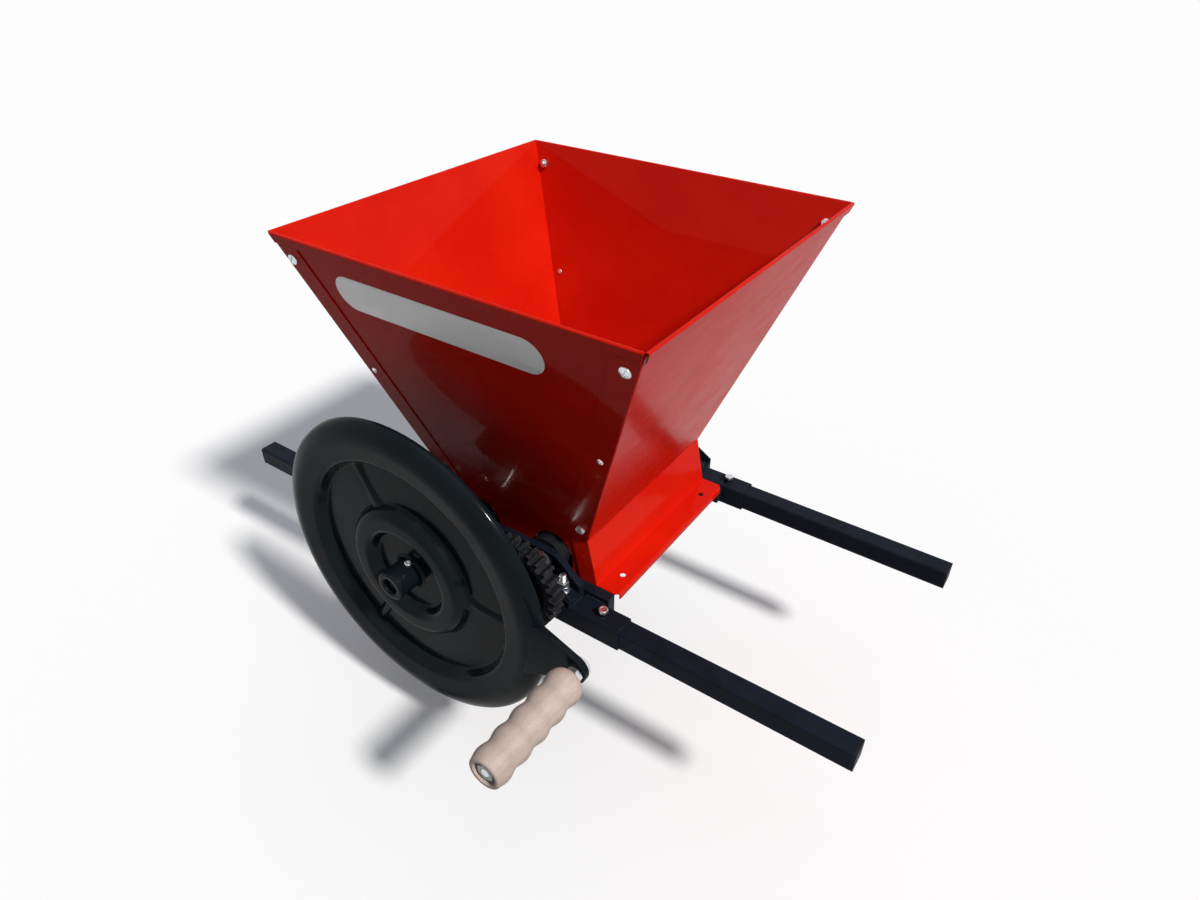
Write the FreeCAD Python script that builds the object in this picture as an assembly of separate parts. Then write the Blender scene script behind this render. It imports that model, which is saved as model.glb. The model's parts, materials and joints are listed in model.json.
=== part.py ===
import FreeCAD, Part
import math
import os

Vector = FreeCAD.Vector

# Hand-cranked grape crusher. Millimetres, X along the rails, Y to the back, Z up.
# The origin is the centre of the four holes in the bolting flange, on its top face.

# Sheet metal of hopper and body
sheet = 1.2
bend = 0.8                 # inner radius of a folded edge
lap_gap = 0.3              # between two sheets that meet at an inside corner

# Gears, which set the distance between the two shafts
module = 4.0
teeth = 27
gear_width = 18.0
addendum = 3.2
dedendum = 4.6
pressure_angle = 20.0      # degrees
backlash = 0.6
gear_hub = 17.0            # radius
gear_hub_length = 8.0
gear_recess = 4.0
gear_rim_wall = 6.0

# Rollers
lobes = 6
lobe_height = 5.5          # above and below the middle radius
nip = 11.0                 # from one roller's middle radius to the other's
roller_length = 237.0
roller_wall = 5.0
roller_hub = 17.0          # radius
roller_rib = 4.0
roller_side_gap = 2.2      # to the side wall of the body
roller_end_gap = 3.5       # to the end plate
axle_z = 23.0
shaft_radius = 10.0
pin_radius = 3.0
pin_inset = 14.0           # from the roller's end

# Body
waist_z = 60.4
flare = 13.0               # each side wall leans out by this much down to the flange
flange_width = 29.2
flange_lip = 9.0
flange_hole = 3.5          # radius
flange_hole_spacing_y = 185.0
flange_corner = 5.0
end_plate_drop = 27.0      # below the flange
lap_height = 27.0          # of the body sheets that stand up inside the hopper
body_strip = 23.0
arch_radius = 28.0
arch_drop = 4.0            # of the arch's centre below the shaft

# Hopper
mouth_half_x = 221.0       # inside of the rim
mouth_half_y = 213.6
rim_z = 369.6
hem_height = 11.0
hem_gap = 1.4
hem_relief = 1.5           # between the hem and the end of the corner strip
corner_strip = 28.0
fastener_inset = 12.5      # from the hopper's corner
bolt_rise = 22.0           # up the slope from the waist
rivet_rise = 160.0
screw_rise = 295.0

# Under-frame
seat_bar_width = 12.0
seat_bar_height = 30.0
seat_bar_inset = 5.0       # from the flange's outer edge
socket_size = 28.0
socket_wall = 1.35
socket_length = 342.0
socket_top = -9.4
arm_size = 25.0
arm_wall = 2.0
arm_length = 347.5
arm_engaged = 83.0         # length of arm inside the socket
cap_thickness = 2.5
cap_plug = 14.0
cap_plug_wall = 2.0
plug_gap = 0.1
clamp_inset = 28.0         # clamp bolt from the socket's end

# Bearing brackets
bracket_wall = 2.4
bracket_bend = 2.0
bracket_overhang = 53.0    # past the shaft
bracket_foot_z = -2.0
bracket_web_top = 38.0
bracket_web_side = 7.0     # top of the upright edge at each end of the web
bracket_shoulder = 19.0    # half width of the web's top, past the shaft
bracket_fold = 8.0
bracket_lip_top = 18.0
bracket_lip_side = 5.0
bracket_lip_shoulder = 32.0
shaft_notch = 16.5
stud_offset = 34.0         # past the shaft
stud_top = 22.0

# Bearing bushes
bush_radius = 23.0
bush_nose = 12.0
bush_nose_length = 7.2     # ahead of the bracket's web
bush_setback = 0.4         # inside the end plate's inner face
running_fit = 0.05         # radial
slip_fit = 0.05            # radial, for parts that are fixed on the shaft
spacer_radius = 14.0
axial_play = 0.3
gear_standoff = 13.6       # gear's back face in front of the bracket
key_width = 6.0
key_height = 6.0
key_depth = 3.5            # in the shaft
key_length = 20.0
ring_thickness = 1.2
ring_width = 3.6
ring_groove = 0.8
shaft_end = 4.0            # past the retaining ring

# Flywheel
wheel_radius = 190.0
wheel_wall = 3.0
wheel_hub = 17.5
wheel_hub_length = 72.0
wheel_web_setback = 37.0   # web's front face ahead of the hub's back end
wheel_shaft_recess = 7.0   # shaft end behind the hub's front face
recess_radius = 49.5
recess_depth = 2.0         # the centre disc stands ahead of the web
ring_crest_radius = 67.5
ring_crest = 14.6          # ahead of the web
ring_crest_flat = 9.0
ring_foot_radius = 86.0
web_radius = 137.0
rim_step = 13.0            # ahead of the web
rim_step_radius = 143.5
rim_crest = 17.0
rim_crest_radius = 172.0
rim_shoulder = 8.5
rim_depth = 17.0           # from the crest to the rim's back edge
rib_count = 3
rib_radius = 7.0
rib_height = 3.2           # ahead of the web
rib_start = -2.0           # degrees from +X
set_screw_angle = 75.0
set_screw_setback = 26.0   # behind the hub's front face
set_screw_radius = 4.0
set_screw_proud = 3.0

# Crank
crank_angle = -1.9
crank_radius = 232.3
ear_thickness = 8.0
ear_setback = 2.0          # ear's back face ahead of the web
ear_tip_radius = 18.0
ear_tip_inset = 6.8        # the tip's centre is nearer the shaft than the bolt
ear_root_half = 45.0
ear_root_radius = 150.0
ear_slope_end = 27.3       # from the bolt to the foot of the slope that rises to the rim's crest
ear_blend = 20.0           # radius of the hollow at the foot of that slope
ear_edge = 1.6             # rounding of the lug's front edge
crank_bolt_radius = 5.0
crank_head = 6.4
crank_across = 17.0
jam_nut = 6.4
grip_start_gap = 2.1
grip_length = 128.5
grip_crest = 20.0
grip_neck = 17.5
grip_bulges = 5
grip_near_radius = 13.0
grip_far_radius = 16.5
grip_recess_radius = 12.5
grip_recess_depth = 12.0
grip_bore_gap = 0.3
lock_nut = 8.0
grip_washer_radius = 11.0
grip_washer = 2.0
crank_tip = 0.8            # bolt end past the lock nut

# Fasteners
screw_radius = 3.0
screw_head_radius = 6.0
screw_head = 3.6
m6_across = 10.0
m6_head = 4.0
m6_nut = 5.0
m8_radius = 4.0
m8_across = 13.0
m8_nut = 6.5
washer_radius = 8.0
washer_thickness = 1.6
rivet_radius = 2.0
rivet_head_radius = 3.6
rivet_head = 1.2
thread_gap = 0.1
hole_gap = 0.3
thread_end = 2.0           # of a bolt past its nut
body_screw_inset = 14.5    # from the end plate's side edge
body_screw_drop = 18.0
body_screw_thread = 9.0    # in the seat bar

# Places that follow from the sizes above
pitch_radius = module * teeth / 2
axle_x = pitch_radius
roller_middle = axle_x - nip / 2
roller_tip = roller_middle + lobe_height
roller_valley = roller_middle - lobe_height
end_inner = roller_length / 2 + roller_end_gap
end_outer = end_inner + sheet
strip_outer = end_outer + sheet
flare_slope = flare / waist_z
flare_sheet = sheet * math.hypot(1, flare_slope)
waist_half_x = (axle_x + roller_tip + roller_side_gap + flare_sheet
                - flare_slope * (waist_z - axle_z))
waist_half_y = end_outer
slope_x = (mouth_half_x - waist_half_x) / (rim_z - waist_z)
slope_y = (mouth_half_y - waist_half_y) / (rim_z - waist_z)
lap_z = waist_z + lap_height
hopper_foot = waist_z + (sheet + bend) * (slope_x + flare_slope) / 2
flange_root = waist_half_x + flare
flange_edge = flange_root + flange_width
flange_hole_x = flange_root + flange_width / 2
seat_bar_outer = strip_outer + seat_bar_width
rail_y = seat_bar_outer + socket_size / 2
socket_half = socket_length / 2
socket_z = socket_top - socket_size / 2
bracket_half = axle_x + bracket_overhang
bracket_outer = seat_bar_outer + socket_size
bush_inner = end_inner - bush_setback
bush_outer = seat_bar_outer + bracket_wall + bush_nose_length
gear_back = bracket_outer + gear_standoff
gear_front = gear_back + gear_width
gear_hub_front = gear_front + gear_hub_length
wheel_back = gear_hub_front
wheel_front = wheel_back + wheel_hub_length
web_front = wheel_back + wheel_web_setback
crank_x = -axle_x + crank_radius * math.cos(math.radians(crank_angle))
crank_z = axle_z + crank_radius * math.sin(math.radians(crank_angle))
ear_back = web_front + ear_setback
ear_front = ear_back + ear_thickness
grip_near = ear_front + jam_nut + grip_start_gap
grip_far = grip_near + grip_length

LEFT = -1
RIGHT = 1
FRONT = -1
BACK = 1
SIDES = {"left": LEFT, "right": RIGHT}
ENDS = {"front": FRONT, "back": BACK}
UP = Vector(0, 0, 1)
ALONG_X = Vector(1, 0, 0)
ALONG_Y = Vector(0, 1, 0)
FORWARD = Vector(0, -1, 0)
CENTRE = Vector(0, 0, 0)


# Shapes used throughout

def on_xz(a, b):
    return Vector(a, 0, b)


def on_yz(a, b):
    return Vector(0, a, b)


def on_xy(a, b):
    return Vector(a, b, 0)


def left_of(start, end):
    """Unit normal to the left of a step between two points."""
    run = math.hypot(end[0] - start[0], end[1] - start[1])
    return (start[1] - end[1]) / run, (end[0] - start[0]) / run


def shifted(line, distance):
    """The same bent line moved to its left, with mitred corners."""
    last = len(line) - 1
    moved = []
    for index, point in enumerate(line):
        before = left_of(line[max(index, 1) - 1], line[max(index, 1)])
        after = left_of(line[min(index, last - 1)], line[min(index, last - 1) + 1])
        share = distance / (1 + before[0] * after[0] + before[1] * after[1])
        moved.append((point[0] + share * (before[0] + after[0]),
                      point[1] + share * (before[1] + after[1])))
    return moved


def folded(line, radii, wall):
    """Corners of a sheet that lies on the left of a bent line; radii are inside the bends."""
    last = len(line) - 1
    near = []
    far = []
    for index, (own, other) in enumerate(zip(line, shifted(line, wall))):
        own_radius = 0.0
        other_radius = 0.0
        if 0 < index < last:
            before = left_of(line[index - 1], own)
            after = left_of(own, line[index + 1])
            turns_left = before[0] * after[1] - before[1] * after[0] > 0
            own_radius = radii[index - 1] + (wall if turns_left else 0)
            other_radius = radii[index - 1] + (0 if turns_left else wall)
        near.append((own[0], own[1], own_radius))
        far.append((other[0], other[1], other_radius))
    return near + far[::-1]


def outline(corners, place):
    """Closed wire through corners (a, b, radius), with a tangent arc at each rounded one."""
    count = len(corners)
    bends = []
    for index, (a, b, radius) in enumerate(corners):
        back = corners[index - 1]
        ahead = corners[(index + 1) % count]
        to_back = Vector(back[0] - a, back[1] - b, 0).normalize()
        to_ahead = Vector(ahead[0] - a, ahead[1] - b, 0).normalize()
        corner = Vector(a, b, 0)
        if radius == 0:
            bends.append((corner, None, corner))
            continue
        half = to_back.getAngle(to_ahead) / 2
        inward = (to_back + to_ahead).normalize()
        reach = radius / math.tan(half)
        middle = corner + inward * (radius / math.sin(half) - radius)
        bends.append((corner + to_back * reach, middle, corner + to_ahead * reach))
    edges = []
    for index, (start, middle, end) in enumerate(bends):
        if middle is not None:
            arc = [place(point.x, point.y) for point in (start, middle, end)]
            edges.append(Part.Arc(*arc).toShape())
        following = bends[(index + 1) % count][0]
        if end.distanceToPoint(following) > 1e-6:
            line = Part.LineSegment(place(end.x, end.y), place(following.x, following.y))
            edges.append(line.toShape())
    return Part.Wire(edges)


def sharp(points):
    """Points (a, b) as corners without a radius."""
    return [(a, b, 0) for a, b in points]


def prism(corners, place, travel):
    """An outline swept straight along a vector."""
    return Part.Face(outline(corners, place)).extrude(travel)


def slab(corners, y_from, y_to):
    """An outline in X and Z, thick from one Y to another."""
    shape = prism(corners, on_xz, Vector(0, y_to - y_from, 0))
    shape.translate(Vector(0, y_from, 0))
    return shape


def spun(corners):
    """A section in radius and Y, turned round the Y axis."""
    return Part.Face(outline(corners, on_xy)).revolve(CENTRE, ALONG_Y, 360)


def block(x, y, z):
    """A box between pairs of limits."""
    size = [max(pair) - min(pair) for pair in (x, y, z)]
    return Part.makeBox(*size, Vector(min(x), min(y), min(z)))


def rod(radius, y_from, y_to, x=0.0, z=0.0):
    """A round bar along Y."""
    length = abs(y_to - y_from)
    return Part.makeCylinder(radius, length, Vector(x, min(y_from, y_to), z), ALONG_Y)


def between(lower, upper):
    """A solid with flat sides between two outlines of equally many points."""
    count = len(lower)
    faces = [Part.Face(Part.makePolygon(ring + ring[:1])) for ring in (lower, upper)]
    for index in range(count):
        following = (index + 1) % count
        side = [lower[index], lower[following], upper[following], upper[index], lower[index]]
        faces.append(Part.Face(Part.makePolygon(side)))
    solid = Part.Solid(Part.Shell(faces))
    return Part.makeSolid(Part.makeShell(solid.Faces))


def hexagon(across, height, base=0.0):
    """A hexagonal prism that stands on Z."""
    radius = across / math.sqrt(3)
    points = [Vector(radius * math.cos(math.radians(60 * k)),
                     radius * math.sin(math.radians(60 * k)), base) for k in range(7)]
    return Part.Face(Part.makePolygon(points)).extrude(Vector(0, 0, height))


def bolt(radius, across, head, reach):
    """Head above Z 0, shank below it."""
    shank = Part.makeCylinder(radius, reach, Vector(0, 0, -reach))
    return hexagon(across, head).fuse(shank).removeSplitter()


def nut(radius, across, height):
    """A nut whose bearing face is on Z 0."""
    bore = Part.makeCylinder(radius + thread_gap, height)
    return hexagon(across, height).cut(bore)


def seated(shape, point, outward):
    """The shape moved so that its Z axis points outward from a point."""
    moved = shape.copy()
    moved.Placement = FreeCAD.Placement(point, FreeCAD.Rotation(UP, outward))
    return moved


def at_end(shape, end):
    """A shape made at the back, or its mirror image at the front."""
    return shape if end == BACK else shape.mirror(CENTRE, ALONG_Y)


def at_side(shape, side):
    """A shape made on the right, or its mirror image on the left."""
    return shape if side == RIGHT else shape.mirror(CENTRE, ALONG_X)


def drilled(shape, radius, point, direction, depth):
    """The shape with a round hole that runs depth to both sides of a point."""
    start = point - direction * depth
    return shape.cut(Part.makeCylinder(radius, 2 * depth, start, direction))


def one(shape):
    """The single solid of a finished piece, without seams between flush faces."""
    cleaned = shape.removeSplitter()
    return cleaned.Solids[0] if len(cleaned.Solids) == 1 else cleaned


# Hopper

def hopper_x(z, out=0.0):
    """Half width of the hopper at a height, out from the inner face by a distance."""
    return waist_half_x + (z - waist_z) * slope_x + out * math.hypot(1, slope_x)


def hopper_y(z, out=0.0):
    return waist_half_y + (z - waist_z) * slope_y + out * math.hypot(1, slope_y)


def inside_pyramid(out_x, out_y, low, high):
    """The space within the hopper's four slopes, moved out by two distances."""
    rings = []
    for z in (low, high):
        x = hopper_x(z, out_x)
        y = hopper_y(z, out_y)
        rings.append([Vector(-x, -y, z), Vector(x, -y, z), Vector(x, y, z), Vector(-x, y, z)])
    return between(*rings)


def wall_profile(waist_half, slope):
    """A hopper wall seen from its end: straight sheet with an open hem folded outwards."""
    lean = math.atan(slope)
    fold = sheet + hem_gap / 2
    length = (rim_z - waist_z - fold + fold * math.sin(lean)) / math.cos(lean) + fold
    line = [(2 * fold, length - hem_height), (2 * fold, length), (0, length),
            (0, hopper_foot - waist_z)]
    corners = []
    for out, up, radius in folded(line, [hem_gap / 2] * 2, sheet):
        across = waist_half + up * math.sin(lean) + out * math.cos(lean)
        corners.append((across, waist_z + up * math.cos(lean) - out * math.sin(lean), radius))
    return corners


hem_bottom = rim_z - (hem_height + hem_relief)
WIDE = 2 * mouth_half_x
FAR = 60.0
FASTENERS = {"bolt": bolt_rise, "rivet": rivet_rise, "screw": screw_rise}
end_lean = math.atan(slope_y)
END_NORMAL = Vector(0, math.cos(end_lean), -math.sin(end_lean))


def fastener_point(kind, side, out):
    """A fastener's place on the back wall, out from the wall's inner face."""
    rise = FASTENERS[kind]
    z = waist_z + rise * math.cos(end_lean)
    x = side * (hopper_x(z, sheet) - fastener_inset)
    return Vector(x, hopper_y(z), z) + END_NORMAL * out


def with_fastener_holes(shape, kinds):
    for kind in kinds:
        radius = rivet_radius if kind == "rivet" else screw_radius
        for side in SIDES.values():
            point = fastener_point(kind, side, sheet)
            shape = drilled(shape, radius + hole_gap, point, END_NORMAL, 4 * sheet)
    return shape


def hopper_end_panel():
    """Back wall; it ends at the inner faces of the side walls."""
    profile = wall_profile(waist_half_y, slope_y)
    panel = prism(profile, on_yz, Vector(2 * WIDE, 0, 0))
    panel.translate(Vector(-WIDE, 0, 0))
    panel = panel.common(inside_pyramid(0, FAR, waist_z - FAR, rim_z + FAR))
    return one(with_fastener_holes(panel, FASTENERS))


def hopper_side_panel():
    """Right wall, with a strip folded round each corner onto the end walls."""
    profile = wall_profile(waist_half_x, slope_x)
    rim = prism(profile, on_xz, Vector(0, 2 * WIDE, 0))
    rim.translate(Vector(0, -WIDE, 0))
    rim = rim.common(inside_pyramid(FAR, sheet, hem_bottom, rim_z + FAR))
    width = corner_strip * math.sqrt(1 + slope_x ** 2 / (1 + slope_y ** 2))
    rings = []
    for z in (hopper_foot, hem_bottom):
        outer_x = hopper_x(z, sheet)
        inner_x = hopper_x(z)
        outer_y = hopper_y(z, 2 * sheet)
        inner_y = hopper_y(z, sheet)
        half = [(outer_x, outer_y), (outer_x - width, outer_y), (outer_x - width, inner_y),
                (inner_x, inner_y)]
        other = [(x, -y) for x, y in half[::-1]]
        rings.append([Vector(x, y, z) for x, y in half + other])
    wall = between(*rings)
    corners = [edge for edge in wall.Edges if is_outer_corner(edge)]
    wall = wall.makeFillet(bend + sheet, corners)
    panel = wall.fuse(rim)
    for end in ENDS.values():
        holes = panel if end == BACK else panel.mirror(CENTRE, ALONG_Y)
        panel = with_fastener_holes(holes, FASTENERS)
        panel = panel if end == BACK else panel.mirror(CENTRE, ALONG_Y)
    return one(panel)


def is_outer_corner(edge):
    """Whether an edge is a fold line at the corner of the right wall."""
    ends = [vertex.Point for vertex in edge.Vertexes]
    if abs(ends[0].z - ends[1].z) < 1:
        return False
    return all(abs(abs(p.y) - hopper_y(p.z, 2 * sheet)) < 0.01
               and abs(p.x - hopper_x(p.z, sheet)) < 0.01 for p in ends)


def hopper_fasteners(kind, shape, out):
    """Four copies of one fastener, its seat out from the inner face of the end walls."""
    copies = []
    for side in SIDES.values():
        outward = END_NORMAL if out > 0 else END_NORMAL * -1
        seat = seated(shape, fastener_point(kind, side, out), outward)
        copies += [at_end(seat, end) for end in ENDS.values()]
    return Part.makeCompound(copies)


def rivet():
    """A rivet through two sheets, headed on both sides, seated on the outer one."""
    reach = 2 * sheet
    shank = Part.makeCylinder(rivet_radius, reach, Vector(0, 0, -reach))
    rise = rivet_head_radius ** 2 / (2 * rivet_head) - rivet_head / 2
    ball = Part.makeSphere(rise + rivet_head, Vector(0, 0, -rise))
    dome = ball.common(Part.makeCylinder(rivet_head_radius, rivet_head))
    inner = dome.mirror(CENTRE, UP)
    inner.translate(Vector(0, 0, -reach))
    return shank.fuse([dome, inner])


def pan_screw(reach):
    """A pan-head screw: head above Z 0, shank below it."""
    head = Part.makeCylinder(screw_head_radius, screw_head)
    head = head.makeFillet(screw_head / 2, [head.Edges[0]])
    return head.fuse(Part.makeCylinder(screw_radius, reach, Vector(0, 0, -reach)))


def hopper():
    pieces = {}
    end_panel = hopper_end_panel()
    side_panel = hopper_side_panel()
    for name, end in ENDS.items():
        pieces["hopper_%s_panel" % name] = at_end(end_panel, end)
    for name, side in SIDES.items():
        pieces["hopper_%s_panel" % name] = at_side(side_panel, side)
    outer = 2 * sheet
    m6_reach = m6_nut + thread_end
    pieces["hopper_screws"] = hopper_fasteners("screw", pan_screw(outer + m6_reach), outer)
    pieces["hopper_screw_nuts"] = hopper_fasteners("screw", nut(screw_radius, m6_across, m6_nut), 0)
    pieces["hopper_rivets"] = hopper_fasteners("rivet", rivet(), outer)
    hex_bolt = bolt(screw_radius, m6_across, m6_head, outer + sheet + m6_reach)
    pieces["hopper_bolts"] = hopper_fasteners("bolt", hex_bolt, outer)
    pieces["hopper_bolt_nuts"] = hopper_fasteners("bolt", nut(screw_radius, m6_across, m6_nut), -sheet)
    return pieces


# Body

def body_side():
    """Right wall: flange with its lip, leaning wall and the lap inside the hopper."""
    line = [(flange_edge, -flange_lip), (flange_edge, 0), (flange_root, 0),
            (waist_half_x, waist_z), (hopper_x(lap_z), lap_z)]
    wall = prism(folded(line, [2 * bend, bend, bend], sheet), on_xz,
                 Vector(0, 2 * strip_outer, 0))
    wall.translate(Vector(0, -strip_outer, 0))
    above = block((0, WIDE), (-WIDE, WIDE), (waist_z, lap_z + FAR))
    lap = inside_pyramid(FAR, -sheet - lap_gap, waist_z - FAR, lap_z + FAR)
    wall = wall.cut(above.cut(lap))
    for end in ENDS.values():
        wall = wall.fuse(slab(body_strip_outline(), end * end_outer, end * strip_outer))
    for end in ENDS.values():
        hole = Vector(flange_hole_x, end * flange_hole_spacing_y / 2, 0)
        wall = drilled(wall, flange_hole, hole, UP, 4 * sheet)
        screw = Vector(body_screw_x, end * end_outer, -body_screw_drop)
        wall = drilled(wall, screw_radius + hole_gap, screw, ALONG_Y, 4 * sheet)
        corner_x = (flange_edge - flange_corner, flange_edge)
        corner = [(corner_x[0], end * strip_outer), (corner_x[1], end * strip_outer),
                  (corner_x[1], end * (strip_outer - flange_corner))]
        tool = prism(sharp(corner), on_xy, Vector(0, 0, 4 * flange_lip))
        tool.translate(Vector(0, 0, -2 * flange_lip))
        wall = wall.cut(tool)
    return one(wall)


body_screw_x = flange_root - body_screw_inset


def body_strip_outline():
    """Strip folded from the side wall onto the end plate, down below the flange."""
    low = -end_plate_drop
    return [(flange_root - body_strip, low, 3 * bend), (flange_root, low, 3 * bend),
            (flange_root, 0, 0), (waist_half_x, waist_z, 0),
            (waist_half_x - body_strip, waist_z, 0), (flange_root - body_strip, 0, 0)]


def body_end_plate():
    """Back end plate with an arch over each shaft and a lap inside the hopper."""
    line = [(hopper_y(lap_z), lap_z), (end_outer, waist_z), (end_outer, -end_plate_drop)]
    turned = [(-a, b) for a, b in line]
    plate = prism(folded(turned, [bend], sheet), on_yz, Vector(2 * WIDE, 0, 0))
    plate.translate(Vector(-WIDE, 0, 0))
    plate = plate.mirror(CENTRE, ALONG_Y)
    edge = [(flange_root - flare_sheet, -end_plate_drop), (flange_root - flare_sheet, 0),
            (waist_half_x - flare_sheet, waist_z),
            (hopper_x(lap_z, -sheet - lap_gap), lap_z + sheet)]
    edge += [(-x, z) for x, z in edge[::-1]]
    plate = plate.common(slab(sharp(edge), end_inner - FAR, end_inner + FAR))
    arch_z = axle_z - arch_drop
    for side in SIDES.values():
        x = side * axle_x
        plate = plate.cut(rod(arch_radius, end_inner - FAR, end_outer + FAR, x, arch_z))
        way = block((x - arch_radius, x + arch_radius), (end_inner - FAR, end_outer + FAR),
                    (-end_plate_drop - FAR, arch_z))
        plate = plate.cut(way)
        screw = Vector(side * body_screw_x, end_outer, -body_screw_drop)
        plate = drilled(plate, screw_radius + hole_gap, screw, ALONG_Y, 4 * sheet)
    return one(with_fastener_holes(plate, ["bolt"]))


def body():
    pieces = {}
    wall = body_side()
    plate = body_end_plate()
    for name, side in SIDES.items():
        pieces["body_%s_side" % name] = at_side(wall, side)
    for name, end in ENDS.items():
        pieces["body_%s_plate" % name] = at_end(plate, end)
    reach = 2 * sheet + body_screw_thread
    screw = bolt(screw_radius, m6_across, m6_head, reach)
    copies = []
    for side in SIDES.values():
        point = Vector(side * body_screw_x, end_inner, -body_screw_drop)
        copies += [at_end(seated(screw, point, FORWARD), end) for end in ENDS.values()]
    pieces["body_screws"] = Part.makeCompound(copies)
    return pieces


# Under-frame

def seat_bar():
    half = flange_edge - seat_bar_inset
    bar = block((-half, half), (strip_outer, seat_bar_outer), (-sheet - seat_bar_height, -sheet))
    for side in SIDES.values():
        hole = rod(screw_radius + thread_gap, strip_outer, strip_outer + body_screw_thread + thread_end,
                   side * body_screw_x, -body_screw_drop)
        bar = bar.cut(hole)
    return bar


def square_tube(size, wall, x_from, x_to):
    """A square tube along X with rounded edges, centred on the axis."""
    ring = []
    for half, radius in ((size / 2, 1.5 * wall), (size / 2 - wall, wall / 2)):
        corners = [(-half, -half, radius), (half, -half, radius), (half, half, radius),
                   (-half, half, radius)]
        ring.append(prism(corners, on_yz, Vector(x_to - x_from, 0, 0)))
    tube = ring[0].cut(ring[1])
    tube.translate(Vector(x_from, 0, 0))
    return tube


clamp_x = socket_half - clamp_inset
arm_inner = socket_half - arm_engaged
arm_outer = arm_inner + arm_length


def socket_tube():
    tube = square_tube(socket_size, socket_wall, -socket_half, socket_half)
    tube.translate(Vector(0, rail_y, socket_z))
    for side in SIDES.values():
        top = Vector(side * clamp_x, rail_y, socket_top)
        tube = drilled(tube, screw_radius + hole_gap, top, UP, 2 * socket_wall)
    return tube


def arm():
    tube = square_tube(arm_size, arm_wall, arm_inner, arm_outer)
    tube.translate(Vector(0, rail_y, socket_z))
    return tube


def end_cap():
    half = arm_size / 2
    round_edge = 1.5 * arm_wall
    corners = [(-half, -half, round_edge), (half, -half, round_edge), (half, half, round_edge),
               (-half, half, round_edge)]
    plate = prism(corners, on_yz, Vector(cap_thickness, 0, 0))
    plate.translate(Vector(arm_outer, 0, 0))
    plug = square_tube(arm_size - 2 * (arm_wall + plug_gap), cap_plug_wall,
                       arm_outer - cap_plug, arm_outer)
    cap = plate.fuse(plug)
    cap.translate(Vector(0, rail_y, socket_z))
    return one(cap)


def clamp_parts():
    """Clamp bolts and the nuts welded on the socket tubes."""
    reach = m6_nut + socket_wall + hole_gap
    clamp = bolt(screw_radius, m6_across, m6_head, reach)
    bolts = []
    nuts = []
    for side in SIDES.values():
        for end in ENDS.values():
            top = Vector(side * clamp_x, end * rail_y, socket_top)
            nuts.append(seated(nut(screw_radius, m6_across, m6_nut), top, UP))
            bolts.append(seated(clamp, top + UP * (m6_nut + hole_gap), UP))
    return {"clamp_bolts": Part.makeCompound(bolts), "clamp_nuts": Part.makeCompound(nuts)}


def underframe():
    pieces = {}
    bar = seat_bar()
    tube = socket_tube()
    arm_tube = arm()
    cap = end_cap()
    for end_name, end in ENDS.items():
        pieces["seat_bar_" + end_name] = at_end(bar, end)
        pieces["socket_tube_" + end_name] = at_end(tube, end)
        for side_name, side in SIDES.items():
            name = end_name + "_" + side_name
            pieces["arm_" + name] = at_side(at_end(arm_tube, end), side)
            pieces["end_cap_" + name] = at_side(at_end(cap, end), side)
    pieces.update(clamp_parts())
    return pieces


# Bearing brackets

def mirrored_outline(points):
    """Right half of an outline, from the bottom up, closed by its mirror image."""
    return sharp(points + [(-x, z) for x, z in points[::-1]])


def bracket():
    """Pressed channel on the back socket tube: web with a folded edge, foot and front lip."""
    base = bracket_foot_z - bracket_wall
    line = [(seat_bar_outer, bracket_web_top), (seat_bar_outer, base), (bracket_outer, base),
            (bracket_outer, bracket_lip_top)]
    channel = prism(folded(line, [bracket_bend] * 2, bracket_wall), on_yz,
                    Vector(2 * bracket_half, 0, 0))
    channel.translate(Vector(-bracket_half, 0, 0))
    web = [(bracket_half, base), (bracket_half, bracket_web_side),
           (axle_x + bracket_shoulder, bracket_web_top)]
    lip = [(bracket_half, base), (bracket_half, bracket_lip_side),
           (axle_x + bracket_lip_shoulder, bracket_lip_top)]
    middle = (seat_bar_outer + bracket_outer) / 2
    web_zone = slab(mirrored_outline(web), seat_bar_outer, middle)
    lip_zone = slab(mirrored_outline(lip), middle, bracket_outer)
    shape = channel.common(web_zone.fuse(lip_zone))
    fold_to = seat_bar_outer + bracket_fold
    fold = slab(mirrored_outline(web), seat_bar_outer, fold_to)
    inner = [(x - bracket_wall, z - bracket_wall) for x, z in web[1:]]
    inner = [(bracket_half - bracket_wall, base - 1)] + inner
    fold = fold.cut(slab(mirrored_outline(inner), seat_bar_outer - 1, fold_to + 1))
    shape = shape.fuse(fold)
    for side in SIDES.values():
        x = side * axle_x
        shape = shape.cut(rod(bush_nose + slip_fit, seat_bar_outer - 1, middle, x, axle_z))
        shape = shape.cut(rod(shaft_notch, middle, bracket_outer + 1, x, axle_z))
        ear = block((side * bracket_half, side * (bracket_half - bracket_wall)),
                    (seat_bar_outer, bracket_outer), (socket_top, base + bracket_wall))
        shape = shape.fuse(ear)
        stud = Vector(side * (axle_x + stud_offset), rail_y, base)
        shape = drilled(shape, m8_radius + hole_gap, stud, UP, 4 * bracket_wall)
    return one(shape)


def bush():
    """Bearing bush on the Y axis, its shoulder on the back bracket's web and its nose through it."""
    bore = shaft_radius + running_fit
    corners = [(bore, bush_inner, 0), (bush_radius, bush_inner, 1),
               (bush_radius, seat_bar_outer, 0), (bush_nose, seat_bar_outer, 0),
               (bush_nose, bush_outer, 1), (bore, bush_outer, 0)]
    shape = spun(corners)
    shape.translate(Vector(axle_x, 0, axle_z))
    return shape


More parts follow.
